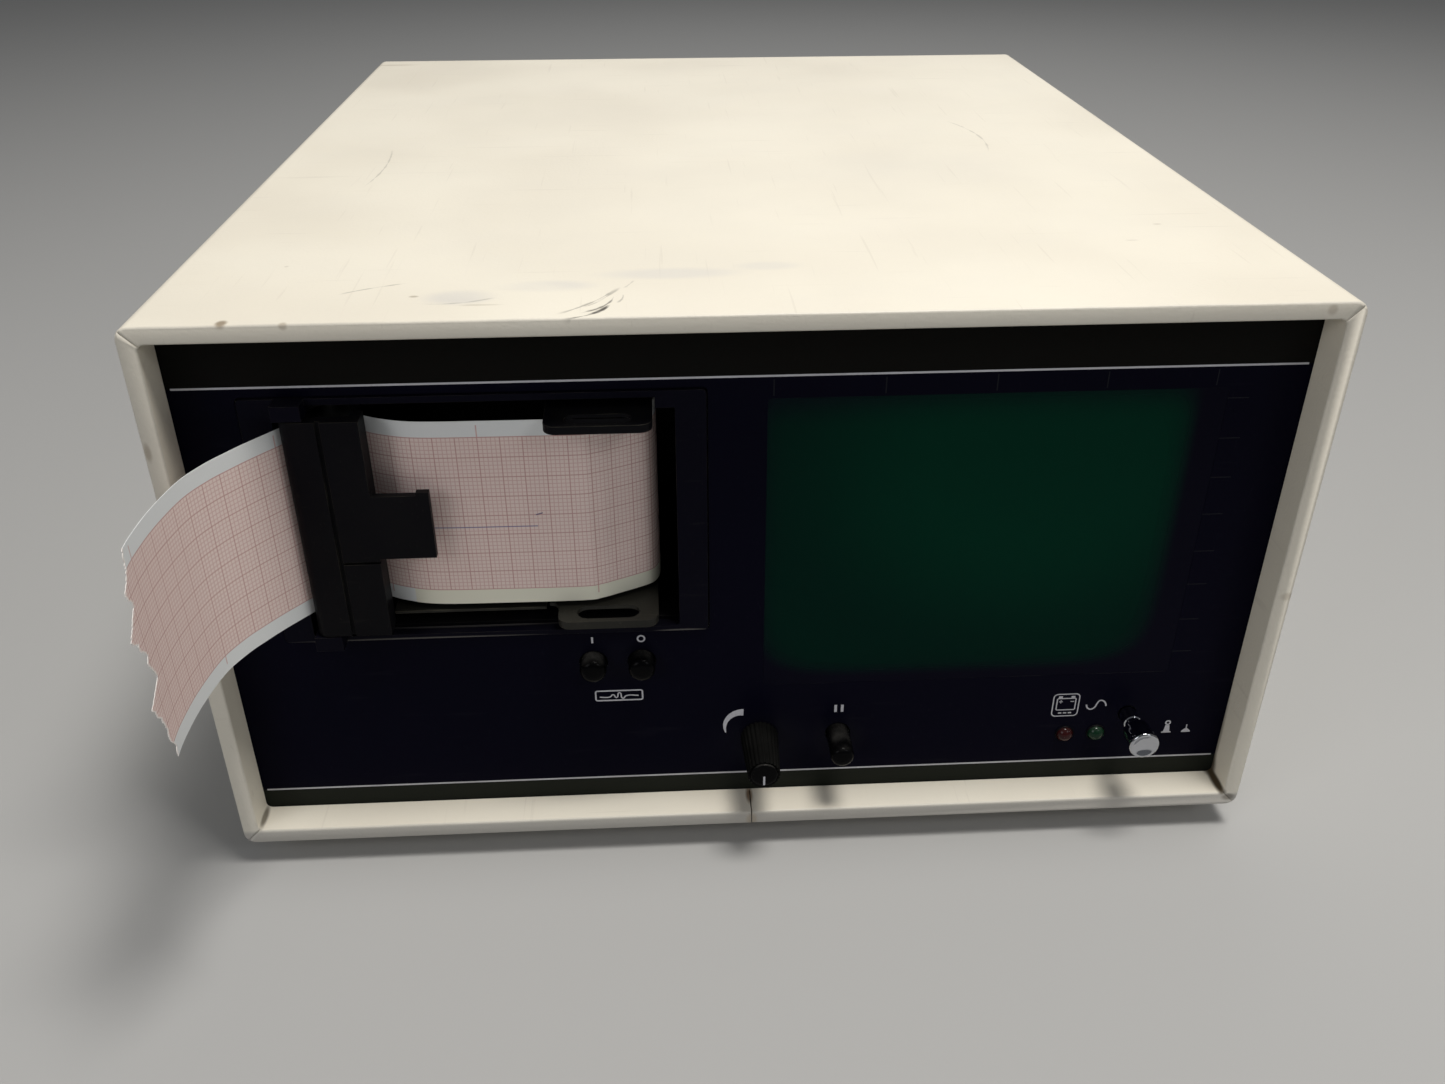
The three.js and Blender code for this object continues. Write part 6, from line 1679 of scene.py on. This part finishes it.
# %% Patient socket with its pins
patient_x, _, patient_z = middle_of("patient_connector")
patient_start = box_mm("patient_connector")[0][1] - back_face
patient_floor = patient_start + 3.1
patient_shell = turned(
    "patient_shell",
    [(0, patient_start), (9.6, patient_start), (9.9, patient_start + 0.4), (9.9, 0.25), (11.9, 0.25),
     (11.9, 1.7), (10.4, 2.3), (10.2, 3.0), (10.2, 4.0), (10.6, 4.3), (10.6, 5.2), (10.2, 5.8), (8.8, 5.95),
     (8.1, 5.6), (8.1, patient_floor), (0, patient_floor), (0, patient_start)],
    (patient_x, back_face, patient_z), "Y", 96,
)
softened(patient_shell, 0.14, angle=45, segments=2)
install(patient_shell, satin_nickel, "chassis", "connector_metal", "patient_connector")
floor_y = back_face + patient_floor + 0.1
insert = turned(
    "patient_insert", [(0, 0), (7.9, 0), (7.9, 4.0), (7.3, 4.6), (0, 4.6), (0, 0)],
    (patient_x, floor_y, patient_z), "Y", 64,
)
softened(insert, 0.2, angle=50, segments=2)
install(insert, grey_moulding, "chassis", "grey_plastic")
pin_count, pin_circle = 6, 4.8
pins = []
for number in range(pin_count):
    turn = math.tau * number / pin_count
    reach = 0.0 if number == pin_count - 1 else pin_circle
    x, z = patient_x + reach * math.cos(turn), patient_z + reach * math.sin(turn)
    pin_profile = [(0, 0), (0.9, 0), (0.9, 6.2), (0.6, 6.9), (0, 7.1)]
    pins.append(turned("pin", pin_profile, (x, floor_y + 4.4, z), "Y", 20))
pins = smoothed(one_object("patient_pins", pins), 45)
install(pins, satin_nickel, "chassis", "connector_metal")

# %% Speaker
speaker_x, _, speaker_z = middle_of("speaker")
turned_part(
    "speaker_unit",
    [(0, -15.9), (15.2, -15.9), (15.8, -15.3), (15.8, -8.6), (15.0, -8.0), (26.6, -3.2), (26.9, -2.8),
     (26.9, -0.3), (26.5, 0), (23.9, 0), (23.7, -0.9), (22.6, -0.3), (21.2, -0.2), (20.0, -1.2), (14.5, -4.1),
     (7.2, -7.6), (6.6, -6.4), (5.2, -5.6), (2.8, -5.1), (0, -5.0)],
    (speaker_x, box_mm("speaker")[1][1], speaker_z), 96, 40, black_moulding, "chassis", "black_plastic",
    "speaker",
)

# %% [markdown]
# ## Inside
# The inner parts show only through slots and gaps, since the case stays closed in every pose. Their solids
# already have the right forms, so each is copied, merged and given soft edges that catch light and wear,
# with a width that suits its material. Nothing finer is spent on them.

# %% Inner parts with soft edges
bodies_of = {node: body for body, held in frame["record"]["behaviour"]["bodies"].items() for node in held}
for name, node_name, width in (
    ("tray_pan", "chassis_tray", 0.3), ("yoke_winding", "deflection_yoke", 0.5),
    ("neck_card", "neck_board", 0.15), ("deflection_card", "deflection_board", 0.15),
    ("main_card", "main_board", 0.15),
    ("transformer_core", "power_transformer", 0.5), ("battery_case", "battery_pack", 0.8),
    ("battery_strip", "battery_strap", 0.2), ("volume_control", "volume_pot", 0.3),
    ("volume_stem", "volume_shaft", 0.2), ("freeze_contact", "freeze_switch", 0.25),
    ("recorder_contacts", "recorder_switch", 0.25), ("power_contact", "power_switch", 0.25),
    ("upper_pivot", "upper_arm_pin", 0.15), ("lower_pivot", "lower_arm_pin", 0.15),
    ("platen_axle", "platen_shaft", 0.2), ("platen_wheel", "platen_gear", 0.12),
    ("idler_wheel", "idler_gear", 0.12), ("motor_wheel", "motor_pinion", 0.1),
    ("paper_motor", "drive_motor", 0.4), ("motor_bracket", "drive_plate", 0.2),
):
    soft_solid(name, node_name, width, finishes[slot_of[node_name]], bodies_of.get(node_name, "chassis"))

# %% [markdown]
# ## Count the pieces
# The last line prints how many pieces were placed and how many triangles they hold.

print(len(placed), "pieces,", sum(count for _, count in placed), "triangles")
